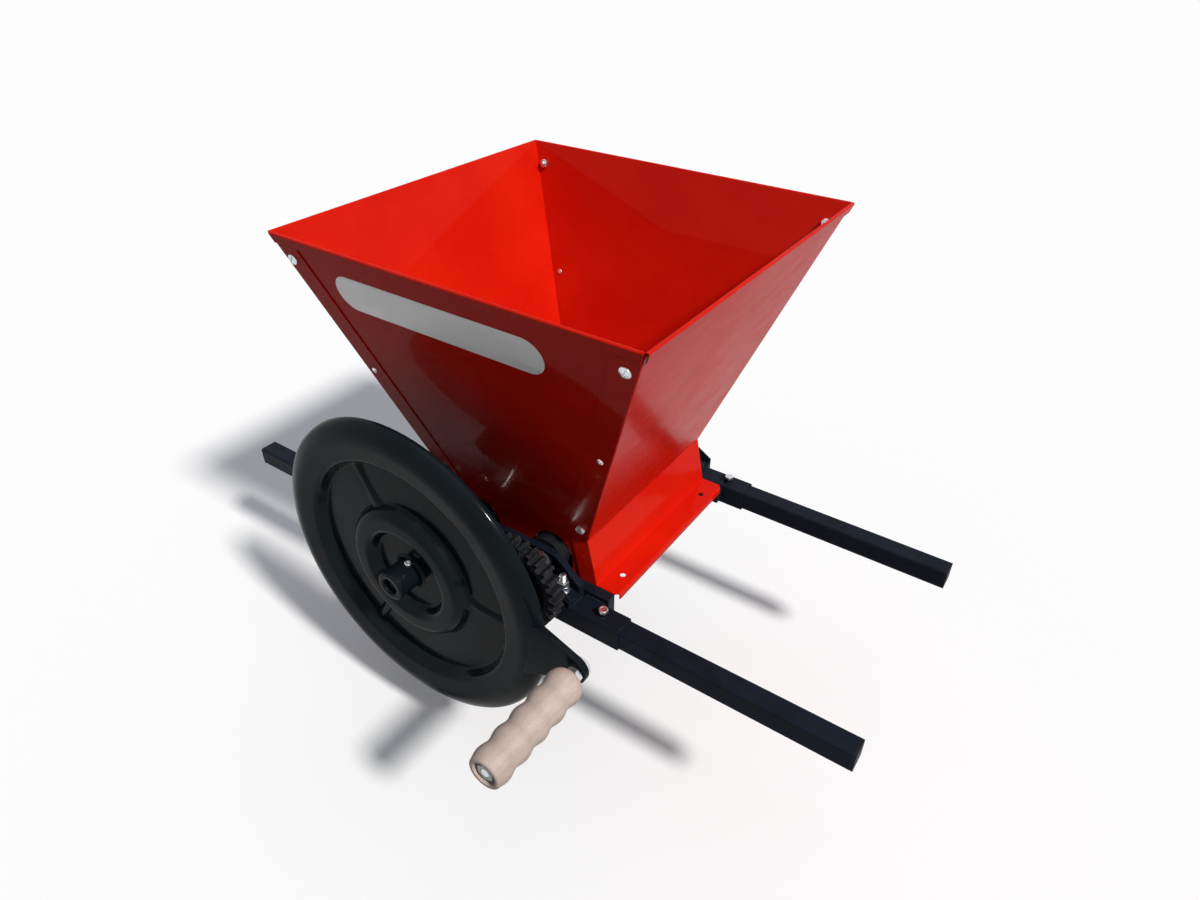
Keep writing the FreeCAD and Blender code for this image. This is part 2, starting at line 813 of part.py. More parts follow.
def brackets():
    pieces = {}
    channel = bracket()
    bearing = bush()
    studs = []
    nuts = []
    washers = []
    disc = Part.makeCylinder(washer_radius, washer_thickness)
    disc = disc.cut(Part.makeCylinder(m8_radius + hole_gap, washer_thickness))
    for end_name, end in ENDS.items():
        pieces["bearing_bracket_" + end_name] = at_end(channel, end)
        for side_name, side in SIDES.items():
            name = "bearing_bush_%s_%s" % (end_name, side_name)
            pieces[name] = at_side(at_end(bearing, end), side)
            x = side * (axle_x + stud_offset)
            y = end * rail_y
            foot = Vector(x, y, bracket_foot_z)
            studs.append(Part.makeCylinder(m8_radius, stud_top - socket_top,
                                           Vector(x, y, socket_top)))
            washers.append(seated(disc, foot, UP))
            for count in range(2):
                rise = washer_thickness + count * m8_nut
                nuts.append(seated(nut(m8_radius, m8_across, m8_nut), foot + UP * rise, UP))
    pieces["bracket_studs"] = Part.makeCompound(studs)
    pieces["bracket_washers"] = Part.makeCompound(washers)
    pieces["bracket_nuts"] = Part.makeCompound(nuts)
    return pieces


# Rollers and shafts

def lobed_face(middle, turn):
    """Closed curve whose radius swells and shrinks once per lobe."""
    points = []
    steps = 8 * lobes
    for step in range(steps):
        angle = 2 * math.pi * step / steps
        radius = middle + lobe_height * math.cos(lobes * (angle - turn))
        points.append(Vector(radius * math.cos(angle), 0, radius * math.sin(angle)))
    curve = Part.BSplineCurve()
    curve.interpolate(Points=points, PeriodicFlag=True)
    return Part.Face(Part.Wire(curve.toShape()))


def roller(turn):
    """Lobed roller on the Y axis: outer wall, hub and a rib to each valley."""
    half = roller_length / 2
    travel = Vector(0, roller_length, 0)
    outer = lobed_face(roller_middle, turn).extrude(travel)
    shape = outer.cut(lobed_face(roller_middle - roller_wall, turn).extrude(travel))
    hub = rod(roller_hub, 0, roller_length)
    ribs = []
    for index in range(lobes):
        rib = block((0, roller_valley - roller_wall / 2), (0, roller_length),
                    (-roller_rib / 2, roller_rib / 2))
        angle = math.degrees(turn) + 360 * (index + 0.5) / lobes
        rib.rotate(CENTRE, FORWARD, angle)
        ribs.append(rib)
    shape = shape.fuse([hub] + ribs)
    shape = shape.cut(rod(shaft_radius + slip_fit, -1, roller_length + 1))
    shape.translate(Vector(0, -half, 0))
    for end in ENDS.values():
        pin = Vector(0, end * (half - pin_inset), 0)
        shape = drilled(shape, pin_radius + slip_fit, pin, across_roller(turn), roller_hub)
    return one(shape)


def across_roller(turn):
    """Direction of the roller's pins: along a lobe, between two ribs."""
    return Vector(math.cos(turn), 0, math.sin(turn))


def pins(turn):
    shapes = []
    for end in ENDS.values():
        y = end * (roller_length / 2 - pin_inset)
        direction = across_roller(turn)
        start = Vector(0, y, 0) - direction * roller_hub
        shapes.append(Part.makeCylinder(pin_radius, 2 * roller_hub, start, direction))
    return Part.makeCompound(shapes)


ring_near = bush_outer + axial_play
shaft_back = ring_near + ring_thickness + shaft_end


def shaft(front, turn, front_ring):
    """Shaft on the Y axis from its front end to the back, with groove, keyway and pin holes."""
    bar = rod(shaft_radius, -front, shaft_back)
    bar = bar.makeChamfer(1.0, [edge for edge in bar.Edges if len(edge.Vertexes) == 1])
    bar = bar.cut(ring_groove_at(ring_near))
    if front_ring:
        bar = bar.cut(ring_groove_at(-gear_hub_front - axial_play - ring_thickness))
    for end in ENDS.values():
        pin = Vector(0, end * (roller_length / 2 - pin_inset), 0)
        bar = drilled(bar, pin_radius + slip_fit, pin, across_roller(turn), roller_hub)
    keyway = block((-key_width / 2 - slip_fit, key_width / 2 + slip_fit),
                   (-gear_back, -gear_back - key_length - 2 * slip_fit),
                   (shaft_radius - key_depth, 2 * shaft_radius))
    return one(bar.cut(keyway))


def ring_groove_at(y):
    groove = rod(2 * shaft_radius, y - slip_fit, y + ring_thickness + slip_fit)
    return groove.cut(rod(shaft_radius - ring_groove, y - 1, y + ring_thickness + 1))


def retaining_ring(y):
    """Open ring in its groove, with two ears at the gap."""
    inner = shaft_radius - ring_groove + slip_fit
    outer = inner + ring_width
    ring = rod(outer, y, y + ring_thickness)
    for side in SIDES.values():
        ring = ring.fuse(rod(ring_width / 2, y, y + ring_thickness, side * ring_width, outer))
    ring = ring.cut(rod(inner, y - 1, y + ring_thickness + 1))
    gap = block((-ring_width / 2, ring_width / 2), (y - 1, y + ring_thickness + 1), (0, 2 * outer))
    return one(ring.cut(gap))


def key():
    """Gear key in the top of the shaft."""
    base = shaft_radius - key_depth
    return block((-key_width / 2, key_width / 2),
                 (-gear_back - slip_fit, -gear_back - slip_fit - key_length),
                 (base, base + key_height))


def involute_angle(radius, base):
    """Polar angle of an involute where it reaches a radius."""
    roll = math.sqrt(max((radius / base) ** 2 - 1, 0))
    return roll - math.atan(roll)


def gear_outline(turn):
    """Toothed outline: involute flanks as arcs, straight feet, tips and roots."""
    base = pitch_radius * math.cos(math.radians(pressure_angle))
    root = pitch_radius - dedendum
    tip = pitch_radius + addendum
    half_tooth = (math.pi * module / 2 - backlash) / 2 / pitch_radius
    at_base = half_tooth + involute_angle(pitch_radius, base)
    half_gap = math.pi / teeth
    edges = []

    def spot(radius, angle):
        return Vector(radius * math.cos(angle), 0, radius * math.sin(angle))

    for index in range(teeth):
        axis = turn + 2 * math.pi * index / teeth
        tips = at_base - involute_angle(tip, base)
        flank = at_base - involute_angle(pitch_radius, base)
        points = [spot(root, axis - half_gap), spot(root, axis - at_base),
                  spot(base, axis - at_base), spot(pitch_radius, axis - flank),
                  spot(tip, axis - tips), spot(tip, axis + tips),
                  spot(pitch_radius, axis + flank), spot(base, axis + at_base),
                  spot(root, axis + at_base), spot(root, axis + half_gap)]
        edges += [Part.LineSegment(points[0], points[1]).toShape(),
                  Part.LineSegment(points[1], points[2]).toShape(),
                  Part.Arc(points[2], points[3], points[4]).toShape(),
                  Part.LineSegment(points[4], points[5]).toShape(),
                  Part.Arc(points[5], points[6], points[7]).toShape(),
                  Part.LineSegment(points[7], points[8]).toShape(),
                  Part.LineSegment(points[8], points[9]).toShape()]
    return Part.Wire(edges)


def gear(turn):
    """Cast gear on the Y axis, with a hub in front and a recess in each face."""
    shape = Part.Face(gear_outline(turn)).extrude(Vector(0, -gear_width, 0))
    shape.translate(Vector(0, -gear_back, 0))
    rim_inner = pitch_radius - dedendum - gear_rim_wall
    for start, finish in ((gear_back, gear_back + gear_recess), (gear_front - gear_recess, gear_front)):
        recess = rod(rim_inner, -start, -finish).cut(rod(gear_hub, -start, -finish))
        shape = shape.cut(recess)
    shape = shape.fuse(rod(gear_hub, -gear_front, -gear_hub_front))
    shape = shape.cut(rod(shaft_radius + slip_fit, -gear_back + 1, -gear_hub_front - 1))
    base = shaft_radius - key_depth
    keyway = block((-key_width / 2 - slip_fit, key_width / 2 + slip_fit),
                   (-gear_back + 1, -gear_hub_front - 1), (0, base + key_height + 2 * slip_fit))
    return one(shape.cut(keyway))


def spacer():
    """Tube between the front bush and the gear."""
    start = bush_outer + axial_play
    finish = gear_back
    tube = rod(spacer_radius, -start, -finish)
    return tube.cut(rod(shaft_radius + slip_fit, -start + 1, -finish - 1))


def drive_train():
    pieces = {}
    half_lobe = math.pi / lobes
    half_tooth = math.pi / teeth
    for name, side in SIDES.items():
        place = Vector(side * axle_x, 0, axle_z)
        roller_turn = 0.0 if side == LEFT else math.pi + half_lobe
        gear_turn = 0.0 if side == LEFT else math.pi + half_tooth
        front = wheel_front - wheel_shaft_recess
        if side == RIGHT:
            front = gear_hub_front + axial_play + ring_thickness + shaft_end
        made = {"roller_" + name: roller(roller_turn),
                "roller_pins_" + name: pins(roller_turn),
                "shaft_" + name: shaft(front, roller_turn, side == RIGHT),
                "gear_" + name: gear(gear_turn),
                "gear_key_" + name: key(),
                "spacer_" + name: spacer(),
                "retaining_ring_back_" + name: retaining_ring(ring_near)}
        if side == RIGHT:
            front_ring = retaining_ring(-gear_hub_front - axial_play - ring_thickness)
            made["retaining_ring_front_right"] = front_ring
        for piece_name, shape in made.items():
            shape.translate(place)
            pieces[piece_name] = shape
    return pieces


# Flywheel and crank

def wheel_section():
    """Half section of the dished wheel, front face first, out from the hub."""
    foot = recess_radius + (ring_crest - recess_depth) / 2
    line = [(shaft_radius + wheel_wall, -web_front - recess_depth),
            (recess_radius, -web_front - recess_depth),
            (foot, -web_front - ring_crest),
            (2 * ring_crest_radius - foot, -web_front - ring_crest),
            (ring_foot_radius, -web_front),
            (web_radius, -web_front),
            (rim_step_radius, -web_front - rim_step),
            (rim_crest_radius, -web_front - rim_crest),
            (wheel_radius, -web_front - rim_shoulder),
            (wheel_radius, -web_front - rim_crest + rim_depth)]
    radii = [4, 5, ring_crest_flat, 3, 2, 4, 25, 9.5]
    return folded(line, radii, wheel_wall)


def ear_outline():
    """Lug from behind the rim out to the crank bolt, drawn along +X."""
    centre = crank_radius - ear_tip_inset
    reach = centre - ear_root_radius
    lean = math.atan2(ear_root_half, reach)
    half = math.hypot(ear_root_half, reach)
    touch = math.asin(ear_tip_radius / half)
    corner_x = centre + ear_tip_radius
    bevel = math.tan((math.pi / 2 - (lean - touch)) / 2)
    corner_z = ear_tip_radius * bevel
    slope = math.tan(lean - touch)
    root_z = corner_z + (corner_x - ear_root_radius) * slope
    return [(ear_root_radius, -root_z, 0), (corner_x, -corner_z, 0.98 * ear_tip_radius),
            (corner_x, corner_z, 0.98 * ear_tip_radius), (ear_root_radius, root_z, 0)]


def ear():
    """Lug drawn along +X; its front face rises along a hollow slope to the rim's crest."""
    under_crest = -web_front - rim_crest + wheel_wall / 2
    beyond = crank_radius + 2 * ear_tip_radius
    section = [(ear_root_radius, -ear_back, 0), (ear_root_radius, -ear_front, 0),
               (rim_crest_radius, under_crest, 0), (crank_radius - ear_slope_end, -ear_front, ear_blend),
               (beyond, -ear_front, 0), (beyond, -ear_back, 0)]
    shape = prism(section, on_xy, Vector(0, 0, 4 * ear_root_half))
    shape.translate(Vector(0, 0, -2 * ear_root_half))
    shape = shape.common(slab(ear_outline(), under_crest - ear_thickness, -ear_back)).Solids[0]
    rounded = [edge for edge in shape.Edges if is_front_edge(edge)]
    return shape.makeFillet(ear_edge, rounded)


def is_front_edge(edge):
    """Whether an edge of the lug bounds its front face outside the rim's crest."""
    ends = [vertex.Point for vertex in edge.Vertexes]
    middle = edge.valueAt((edge.FirstParameter + edge.LastParameter) / 2)
    ahead = all(-p.y > ear_front - 0.01 and p.x > rim_crest_radius - 0.01 for p in ends + [middle])
    return ahead and not all(abs(p.x - ends[0].x) < 0.01 for p in ends + [middle])


def flywheel():
    """Dished wheel on the Y axis with its hub, ribs and crank lug."""
    shape = spun(wheel_section())
    parts = [rod(wheel_hub, -wheel_back, -wheel_front)]
    for index in range(rib_count):
        start = Vector(ring_foot_radius - 2 * wheel_wall, rib_radius - rib_height - web_front, 0)
        rib = Part.makeCylinder(rib_radius, web_radius - ring_foot_radius + 4 * wheel_wall, start, ALONG_X)
        rib = rib.common(block((0, wheel_radius), (-web_front + 1, -web_front - 2 * rib_height),
                               (-rib_radius, rib_radius)))
        rib.rotate(CENTRE, FORWARD, rib_start + 360 * index / rib_count)
        parts.append(rib)
    lug = ear()
    lug = lug.cut(rod(crank_bolt_radius + slip_fit, -ear_back + 1, -ear_front - 1, crank_radius))
    lug.rotate(CENTRE, FORWARD, crank_angle)
    shape = shape.fuse(parts + [lug])
    shape = shape.cut(rod(shaft_radius + slip_fit, -wheel_back + 1, -wheel_front - 1))
    start, direction = set_screw_line()
    hole = Part.makeCylinder(set_screw_radius + thread_gap, 2 * wheel_hub, start, direction)
    return one(shape.cut(hole))


def set_screw_line():
    """Start on the wheel's axis and direction of the set screw."""
    angle = math.radians(set_screw_angle)
    start = Vector(0, -wheel_front + set_screw_setback, 0)
    return start, Vector(math.cos(angle), 0, math.sin(angle))


def set_screw():
    start, direction = set_screw_line()
    foot = start + direction * (shaft_radius + slip_fit)
    length = wheel_hub + set_screw_proud - shaft_radius - slip_fit
    return Part.makeCylinder(set_screw_radius, length, foot, direction)


def grip():
    """Turned grip on the Y axis: bulges outside, bore and a recess in the far end."""
    steps = 4 * grip_bulges
    points = []
    for step in range(steps + 1):
        swell = math.sin(math.pi * step / 4) ** 2
        radius = grip_neck + (grip_crest - grip_neck) * swell
        if step == 0:
            radius = grip_near_radius
        if step == steps:
            radius = grip_far_radius
        points.append(Vector(radius, -grip_near - grip_length * step / steps, 0))
    curve = Part.BSplineCurve()
    curve.interpolate(points)
    bore = crank_bolt_radius + grip_bore_gap
    floor = -grip_far + grip_recess_depth
    inside = [points[-1], Vector(grip_recess_radius, -grip_far, 0),
              Vector(grip_recess_radius, floor, 0), Vector(bore, floor, 0),
              Vector(bore, -grip_near, 0), points[0]]
    edges = [curve.toShape()]
    edges += [Part.LineSegment(a, b).toShape() for a, b in zip(inside, inside[1:])]
    return Part.Face(Part.Wire(edges)).revolve(CENTRE, ALONG_Y, 360)


def crank():
    """Crank bolt, nuts, washer and grip, made on the Y axis and moved to the lug."""
    floor = grip_far - grip_recess_depth
    washer_at = floor + axial_play
    nut_at = washer_at + grip_washer
    tip = nut_at + lock_nut + crank_tip
    head = bolt(crank_bolt_radius, crank_across, crank_head, tip - ear_back)
    washer = Part.makeCylinder(grip_washer_radius, grip_washer)
    washer = washer.cut(Part.makeCylinder(crank_bolt_radius + thread_gap, grip_washer))
    jam = nut(crank_bolt_radius, crank_across, jam_nut)
    lock = nut(crank_bolt_radius, crank_across, lock_nut)
    made = {"crank_bolt": seated(head, Vector(0, -ear_back, 0), ALONG_Y),
            "crank_jam_nut": seated(jam, Vector(0, -ear_front, 0), FORWARD),
            "grip": grip(),
            "grip_washer": seated(washer, Vector(0, -washer_at, 0), FORWARD),
            "grip_lock_nut": seated(lock, Vector(0, -nut_at, 0), FORWARD)}
    for shape in made.values():
        shape.translate(Vector(crank_x, 0, crank_z))
    return made


def wheel_group():
    made = {"flywheel": flywheel(), "wheel_set_screw": set_screw()}
    for shape in made.values():
        shape.translate(Vector(-axle_x, 0, axle_z))
    made.update(crank())
    return made


os.makedirs("parts", exist_ok=True)
for section in (hopper, body, underframe, brackets, drive_train, wheel_group):
    for node, solid in section().items():
        solid.exportStep("parts/%s.step" % node)
        print(node, len(solid.Solids), solid.isValid(), round(solid.Volume))
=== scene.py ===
import json
import math
import random
from collections import namedtuple

import bpy
from mathutils import Matrix, Vector


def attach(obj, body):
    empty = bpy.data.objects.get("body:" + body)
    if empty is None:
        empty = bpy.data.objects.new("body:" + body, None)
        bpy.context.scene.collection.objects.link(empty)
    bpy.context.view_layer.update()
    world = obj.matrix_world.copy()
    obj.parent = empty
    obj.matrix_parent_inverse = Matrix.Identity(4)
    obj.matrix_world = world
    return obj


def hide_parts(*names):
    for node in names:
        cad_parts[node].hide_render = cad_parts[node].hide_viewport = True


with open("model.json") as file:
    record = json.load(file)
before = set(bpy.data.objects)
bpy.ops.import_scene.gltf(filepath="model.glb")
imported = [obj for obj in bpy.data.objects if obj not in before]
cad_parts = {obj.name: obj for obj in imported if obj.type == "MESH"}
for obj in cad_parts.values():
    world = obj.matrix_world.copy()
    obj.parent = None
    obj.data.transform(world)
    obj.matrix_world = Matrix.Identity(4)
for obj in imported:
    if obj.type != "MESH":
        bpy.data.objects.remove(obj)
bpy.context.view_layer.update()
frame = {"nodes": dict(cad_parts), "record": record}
nodes = frame["nodes"]

# Lengths are in millimetres in the row's frame until a piece is made.
MM = 0.001
UP = Vector((0, 0, 1))
BACKWARD = Vector((0, 1, 0))
FORWARD = Vector((0, -1, 0))
rng = random.Random(7)


def bare_tree(owner):
    """The node tree of a material or world, switched on and emptied."""
    owner.use_nodes = True
    owner.node_tree.nodes.clear()
    return owner.node_tree


def in_scene(name, data):
    """A new object with this data, linked to the scene."""
    made = bpy.data.objects.new(name, data)
    bpy.context.scene.collection.objects.link(made)
    return made


# Materials

# Sockets of a colour mix node, by number because several share a name.
MIX_SHARE, MIX_FIRST, MIX_SECOND = 0, 6, 7
MIX_RESULT = 2

# Where noise begins and mostly ends.
NOISE_LOW = 0.3
NOISE_TOP = 0.7

# Slow waves of the hopper's sheet, which its label follows: pattern per metre, depth in metres.
WAVE_SCALE = 5.5
WAVE_DEPTH = 0.0016


def wired(tree, kind, inputs=None, **settings):
    """A new node; each input gets a constant or a link from another node's output."""
    made = tree.nodes.new(kind)
    for name, value in settings.items():
        setattr(made, name, value)
    for socket, value in (inputs or {}).items():
        if isinstance(value, bpy.types.NodeSocket):
            tree.links.new(value, made.inputs[socket])
        else:
            made.inputs[socket].default_value = value
    return made


def mixed(tree, share, a, b):
    """A colour between two, each a colour or another node's output."""
    first, second = (colour + (1.0,) if isinstance(colour, tuple) else colour for colour in (a, b))
    return wired(tree, "ShaderNodeMix", {MIX_SHARE: share, MIX_FIRST: first, MIX_SECOND: second},
                 data_type="RGBA").outputs[MIX_RESULT]


class Finish:
    """A material in the making: its shader, and nodes that vary it over the surface."""

    def __init__(self, name, **values):
        self.material = bpy.data.materials.new(name)
        self.tree = bare_tree(self.material)
        constants = {socket.replace("_", " "): value for socket, value in values.items()}
        self.shader = self.node("ShaderNodeBsdfPrincipled", constants)
        self.node("ShaderNodeOutputMaterial", {"Surface": self.shader.outputs["BSDF"]})
        self.place = self.node("ShaderNodeTexCoord").outputs["Object"]

    def node(self, kind, inputs=None, **settings):
        return wired(self.tree, kind, inputs, **settings)

    def set(self, socket, value):
        self.tree.links.new(value, self.shader.inputs[socket])

    def stretched(self, *scale):
        """The place on the surface with each axis scaled by a factor of its own."""
        return self.node("ShaderNodeMapping", {
            "Vector": self.place, "Scale": scale}).outputs["Vector"]

    def noise(self, scale, detail=2.0, rough=0.5, place=None):
        return self.node("ShaderNodeTexNoise", {
            "Vector": place or self.place, "Scale": scale, "Detail": detail,
            "Roughness": rough}).outputs["Fac"]

    def cells(self, scale, place=None):
        """Distance to the nearest of scattered points."""
        return self.node("ShaderNodeTexVoronoi", {
            "Vector": place or self.place, "Scale": scale}).outputs["Distance"]

    def range(self, value, low, high, to_low=0.0, to_high=1.0):
        """A value stretched from one range to another and held within it."""
        return self.node("ShaderNodeMapRange", {
            "Value": value, "From Min": low, "From Max": high, "To Min": to_low,
            "To Max": to_high}, clamp=True).outputs["Result"]

    def cloud(self, *noise, top=NOISE_TOP):
        """Noise over its usual span, from nought to one."""
        return self.range(self.noise(*noise), NOISE_LOW, top)

    def rough(self, low, high, *noise, top=NOISE_TOP):
        """Roughness that wanders between two values."""
        self.set("Roughness", self.range(self.noise(*noise), NOISE_LOW, top, low, high))

    def times(self, a, b):
        return self.node("ShaderNodeMath", {0: a, 1: b}, operation="MULTIPLY").outputs[0]

    def mix(self, share, a, b):
        return mixed(self.tree, share, a, b)

    def rounded(self, radius):
        """Normal that rolls over each edge within a radius."""
        return self.node("ShaderNodeBevel", {"Radius": radius}, samples=4).outputs["Normal"]

    def edges(self, radius, low, high):
        """One along the outer and inner edges of the piece, nought on its faces."""
        normal = self.node("ShaderNodeNewGeometry").outputs["Normal"]
        product = self.node("ShaderNodeVectorMath", {0: normal, 1: self.rounded(radius)},
                            operation="DOT_PRODUCT")
        return self.range(product.outputs["Value"], high, low)

    def bump(self, *layers, base=None):
        """Layers of relief (height, depth in metres), one on the other."""
        normal = base
        for height, depth in layers:
            inputs = {"Strength": 1.0, "Distance": depth, "Height": height}
            if normal is not None:
                inputs["Normal"] = normal
            normal = self.node("ShaderNodeBump", inputs).outputs["Normal"]
        self.set("Normal", normal)


def red_enamel():
    """Glossy red on sheet steel: slight orange peel, slow waves in the sheet, faint smears."""
    made = Finish("red_enamel", IOR=1.5, Specular_IOR_Level=0.015,
                  Coat_Weight=0.07, Coat_Roughness=0.03, Coat_IOR=1.5)
    drift = made.noise(11.0, 3.0)
    deep = made.mix(made.range(drift, 0.35, 0.7), (0.62, 0.0085, 0.0025), (0.69, 0.014, 0.0038))
    specks = made.range(made.noise(900.0, 1.0), 0.72, 0.78, 0.0, 0.06)
    made.set("Base Color", made.mix(specks, deep, (0.60, 0.05, 0.03)))
    smears = made.noise(26.0, 5.0, 0.62, made.stretched(1.0, 0.6, 2.2))
    made.set("Roughness", made.range(smears, 0.35, 0.75, 0.24, 0.33))
    made.bump((made.noise(WAVE_SCALE, 1.0), WAVE_DEPTH), (made.noise(330.0, 2.0), 0.000005),
              base=made.rounded(0.0005))
    return made.material


def black_powder_coat():
    """Satin black on tubes and brackets: fine grain, paler where edges have rubbed."""
    made = Finish("black_powder_coat", IOR=1.5, Specular_IOR_Level=0.04)
    cloud = made.cloud(30.0, 4.0, 0.6, top=0.72)
    # The blue cast of this black is partly painted reflection: it stands in for blue sky mirrored
    # on the tubes.
    base = made.mix(cloud, (0.0070, 0.0095, 0.0165), (0.0110, 0.0155, 0.0270))
    pale_edges = made.times(made.edges(0.0011, 0.80, 0.97),
                        made.range(made.noise(160.0, 3.0), 0.42, 0.66))
    base = made.mix(pale_edges, base, (0.050, 0.056, 0.068))
    fibres = made.noise(650.0, 1.0, 0.5, made.stretched(1.0, 2.4, 1.0))
    lint = made.range(fibres, 0.725, 0.755, 0.0, 0.4)
    made.set("Base Color", made.mix(lint, base, (0.07, 0.075, 0.08)))
    made.rough(0.34, 0.50, 55.0, 4.0, 0.6)
    made.bump((made.noise(1500.0, 2.0), 0.00003), (made.noise(70.0, 2.0), 0.00006),
              base=made.rounded(0.0006))
    return made.material


def black_gloss_casting():
    """Gloss black enamel over a casting that isn't quite smooth."""
    made = Finish("black_gloss_casting", IOR=1.5, Specular_IOR_Level=0.02,
                  Coat_Weight=0.1, Coat_Roughness=0.03)
    cloud = made.cloud(14.0, 4.0, 0.55)
    base = made.mix(cloud, (0.0036, 0.0062, 0.0085), (0.0062, 0.0100, 0.0130))
    dust = made.range(made.noise(520.0, 2.0, 0.6), 0.70, 0.80, 0.0, 0.12)
    made.set("Base Color", made.mix(dust, base, (0.045, 0.048, 0.045)))
    made.rough(0.16, 0.34, 42.0, 4.0, 0.6, top=0.72)
    made.bump((made.noise(23.0, 2.0), 0.0004), (made.noise(260.0, 2.0), 0.00001),
              base=made.rounded(0.0006))
    return made.material


def black_gear_enamel():
    """Gears: black enamel, paler and slightly blue along every edge: partly wear on the tips and
    flanks, partly painted highlight.
    """
    made = Finish("black_gear_enamel", IOR=1.5, Specular_IOR_Level=0.08)
    cloud = made.cloud(60.0, 4.0, 0.6, top=0.72)
    base = made.mix(cloud, (0.009, 0.010, 0.013), (0.020, 0.022, 0.026))
    # Pale edges: partly rubbing wear, partly painted highlight standing in for bluish glints on the
    # teeth.
    pale_edges = made.times(made.edges(0.0010, 0.78, 0.96),
                        made.range(made.noise(220.0, 3.0), 0.38, 0.62))
    made.set("Base Color", made.mix(pale_edges, base, (0.16, 0.165, 0.175)))
    made.rough(0.26, 0.46, 120.0, 3.0)
    made.bump((made.noise(420.0, 3.0, 0.6), 0.00008), base=made.rounded(0.0006))
    return made.material


def cast_aluminium():
    """Rollers as cast: a dull grey skin with pits, paler and darker in random patches."""
    made = Finish("cast_aluminium", Metallic=1.0)
    cloud = made.cloud(40.0, 5.0, 0.62, top=0.72)
    base = made.mix(cloud, (0.40, 0.405, 0.41), (0.58, 0.585, 0.59))
    pits = made.range(made.cells(420.0), 0.0, 0.22, 1.0, 0.0)
    rare = made.times(pits, made.range(made.noise(60.0, 2.0), 0.52, 0.62))
    made.set("Base Color", made.mix(rare, base, (0.13, 0.13, 0.13)))
    made.rough(0.38, 0.60, 85.0, 4.0)
    made.bump((made.noise(700.0, 3.0, 0.6), 0.00010),
              (made.range(rare, 0.0, 1.0, 1.0, 0.0), 0.0002), base=made.rounded(0.0008))
    return made.material


def turned_steel():
    """Bright bar turned round the Y axis, with fine tool rings and a few brown specks."""
    made = Finish("turned_steel", Metallic=1.0)
    tool = made.noise(1.0, 2.0, 0.5, made.stretched(6.0, 2600.0, 6.0))
    base = made.mix(made.range(tool, 0.3, 0.7), (0.42, 0.42, 0.43), (0.60, 0.60, 0.61))
    specks = made.range(made.noise(340.0, 3.0, 0.6), 0.68, 0.78, 0.0, 0.6)
    made.set("Base Color", made.mix(specks, base, (0.16, 0.11, 0.07)))
    made.rough(0.22, 0.40, 90.0, 3.0)
    made.bump((tool, 0.00002), base=made.rounded(0.0004))
    return made.material


def bright_zinc():
    """Zinc plating with a blue passivation, mottled and a little duller in places."""
    made = Finish("bright_zinc", Metallic=1.0)
    cloud = made.cloud(150.0, 4.0, 0.6)
    base = made.mix(cloud, (0.56, 0.59, 0.64), (0.72, 0.73, 0.75))
    gold = made.range(made.noise(95.0, 2.0), 0.56, 0.70, 0.0, 0.35)
    made.set("Base Color", made.mix(gold, base, (0.66, 0.62, 0.52)))
    made.rough(0.28, 0.46, 420.0, 3.0)
    made.bump((made.noise(1300.0, 2.0), 0.00002), base=made.rounded(0.00035))
    return made.material


def dull_zinc():
    """Zinc, darker and rougher than the bright finish, for the nut in the recess of the grip."""
    made = Finish("dull_zinc", Metallic=1.0)
    cloud = made.cloud(170.0, 4.0, 0.6)
    made.set("Base Color", made.mix(cloud, (0.20, 0.205, 0.19), (0.31, 0.315, 0.295)))
    made.rough(0.44, 0.62, 420.0, 3.0)
    made.bump((made.noise(1100.0, 2.0), 0.00003), base=made.rounded(0.00035))
    return made.material


def rivet_metal():
    """Soft aluminium, pressed bright by the setting tool."""
    made = Finish("rivet_metal", Metallic=1.0)
    cloud = made.cloud(700.0, 3.0)
    made.set("Base Color", made.mix(cloud, (0.60, 0.60, 0.61), (0.80, 0.80, 0.80)))
    made.rough(0.22, 0.42, 1200.0, 2.0)
    made.bump((made.noise(1600.0, 2.0), 0.00002))
    return made.material


def moulded_plastic():
    """End caps: black moulded plastic with a fine spark-eroded grain."""
    made = Finish("moulded_plastic", IOR=1.46, Specular_IOR_Level=0.05)
    cloud = made.cloud(45.0, 3.0)
    made.set("Base Color", made.mix(cloud, (0.011, 0.012, 0.014), (0.019, 0.020, 0.023)))
    made.rough(0.46, 0.62, 300.0, 3.0)
    made.bump((made.noise(2200.0, 2.0), 0.00004), base=made.rounded(0.0008))
    return made.material


def turned_beech():
    """Pale beech, bare and dull, with its grain along the grip and short dark flecks."""
    made = Finish("turned_beech", IOR=1.5, Specular_IOR_Level=0.12)
    bands = made.noise(1.0, 4.0, 0.6, made.stretched(120.0, 7.0, 120.0))
    base = made.mix(made.range(bands, 0.32, 0.70), (0.58, 0.485, 0.445), (0.48, 0.390, 0.350))
    pores = made.noise(1.0, 2.0, 0.55, made.stretched(1500.0, 110.0, 1500.0))
    base = made.mix(made.range(pores, 0.60, 0.74, 0.0, 0.55), base, (0.33, 0.22, 0.16))
    flecks = made.cells(1.0, made.stretched(700.0, 240.0, 700.0))
    base = made.mix(made.range(flecks, 0.05, 0.24, 0.70, 0.0), base, (0.33, 0.20, 0.14))
    grime = made.range(made.noise(36.0, 4.0, 0.6), 0.52, 0.78, 0.0, 0.28)
    made.set("Base Color", made.mix(grime, base, (0.40, 0.35, 0.32)))
    made.set("Roughness", made.range(bands, 0.3, 0.7, 0.62, 0.78))
    rings = made.noise(1.0, 1.0, 0.5, made.stretched(8.0, 1400.0, 8.0))
    made.bump((pores, 0.00006), (rings, 0.00003))
    return made.material


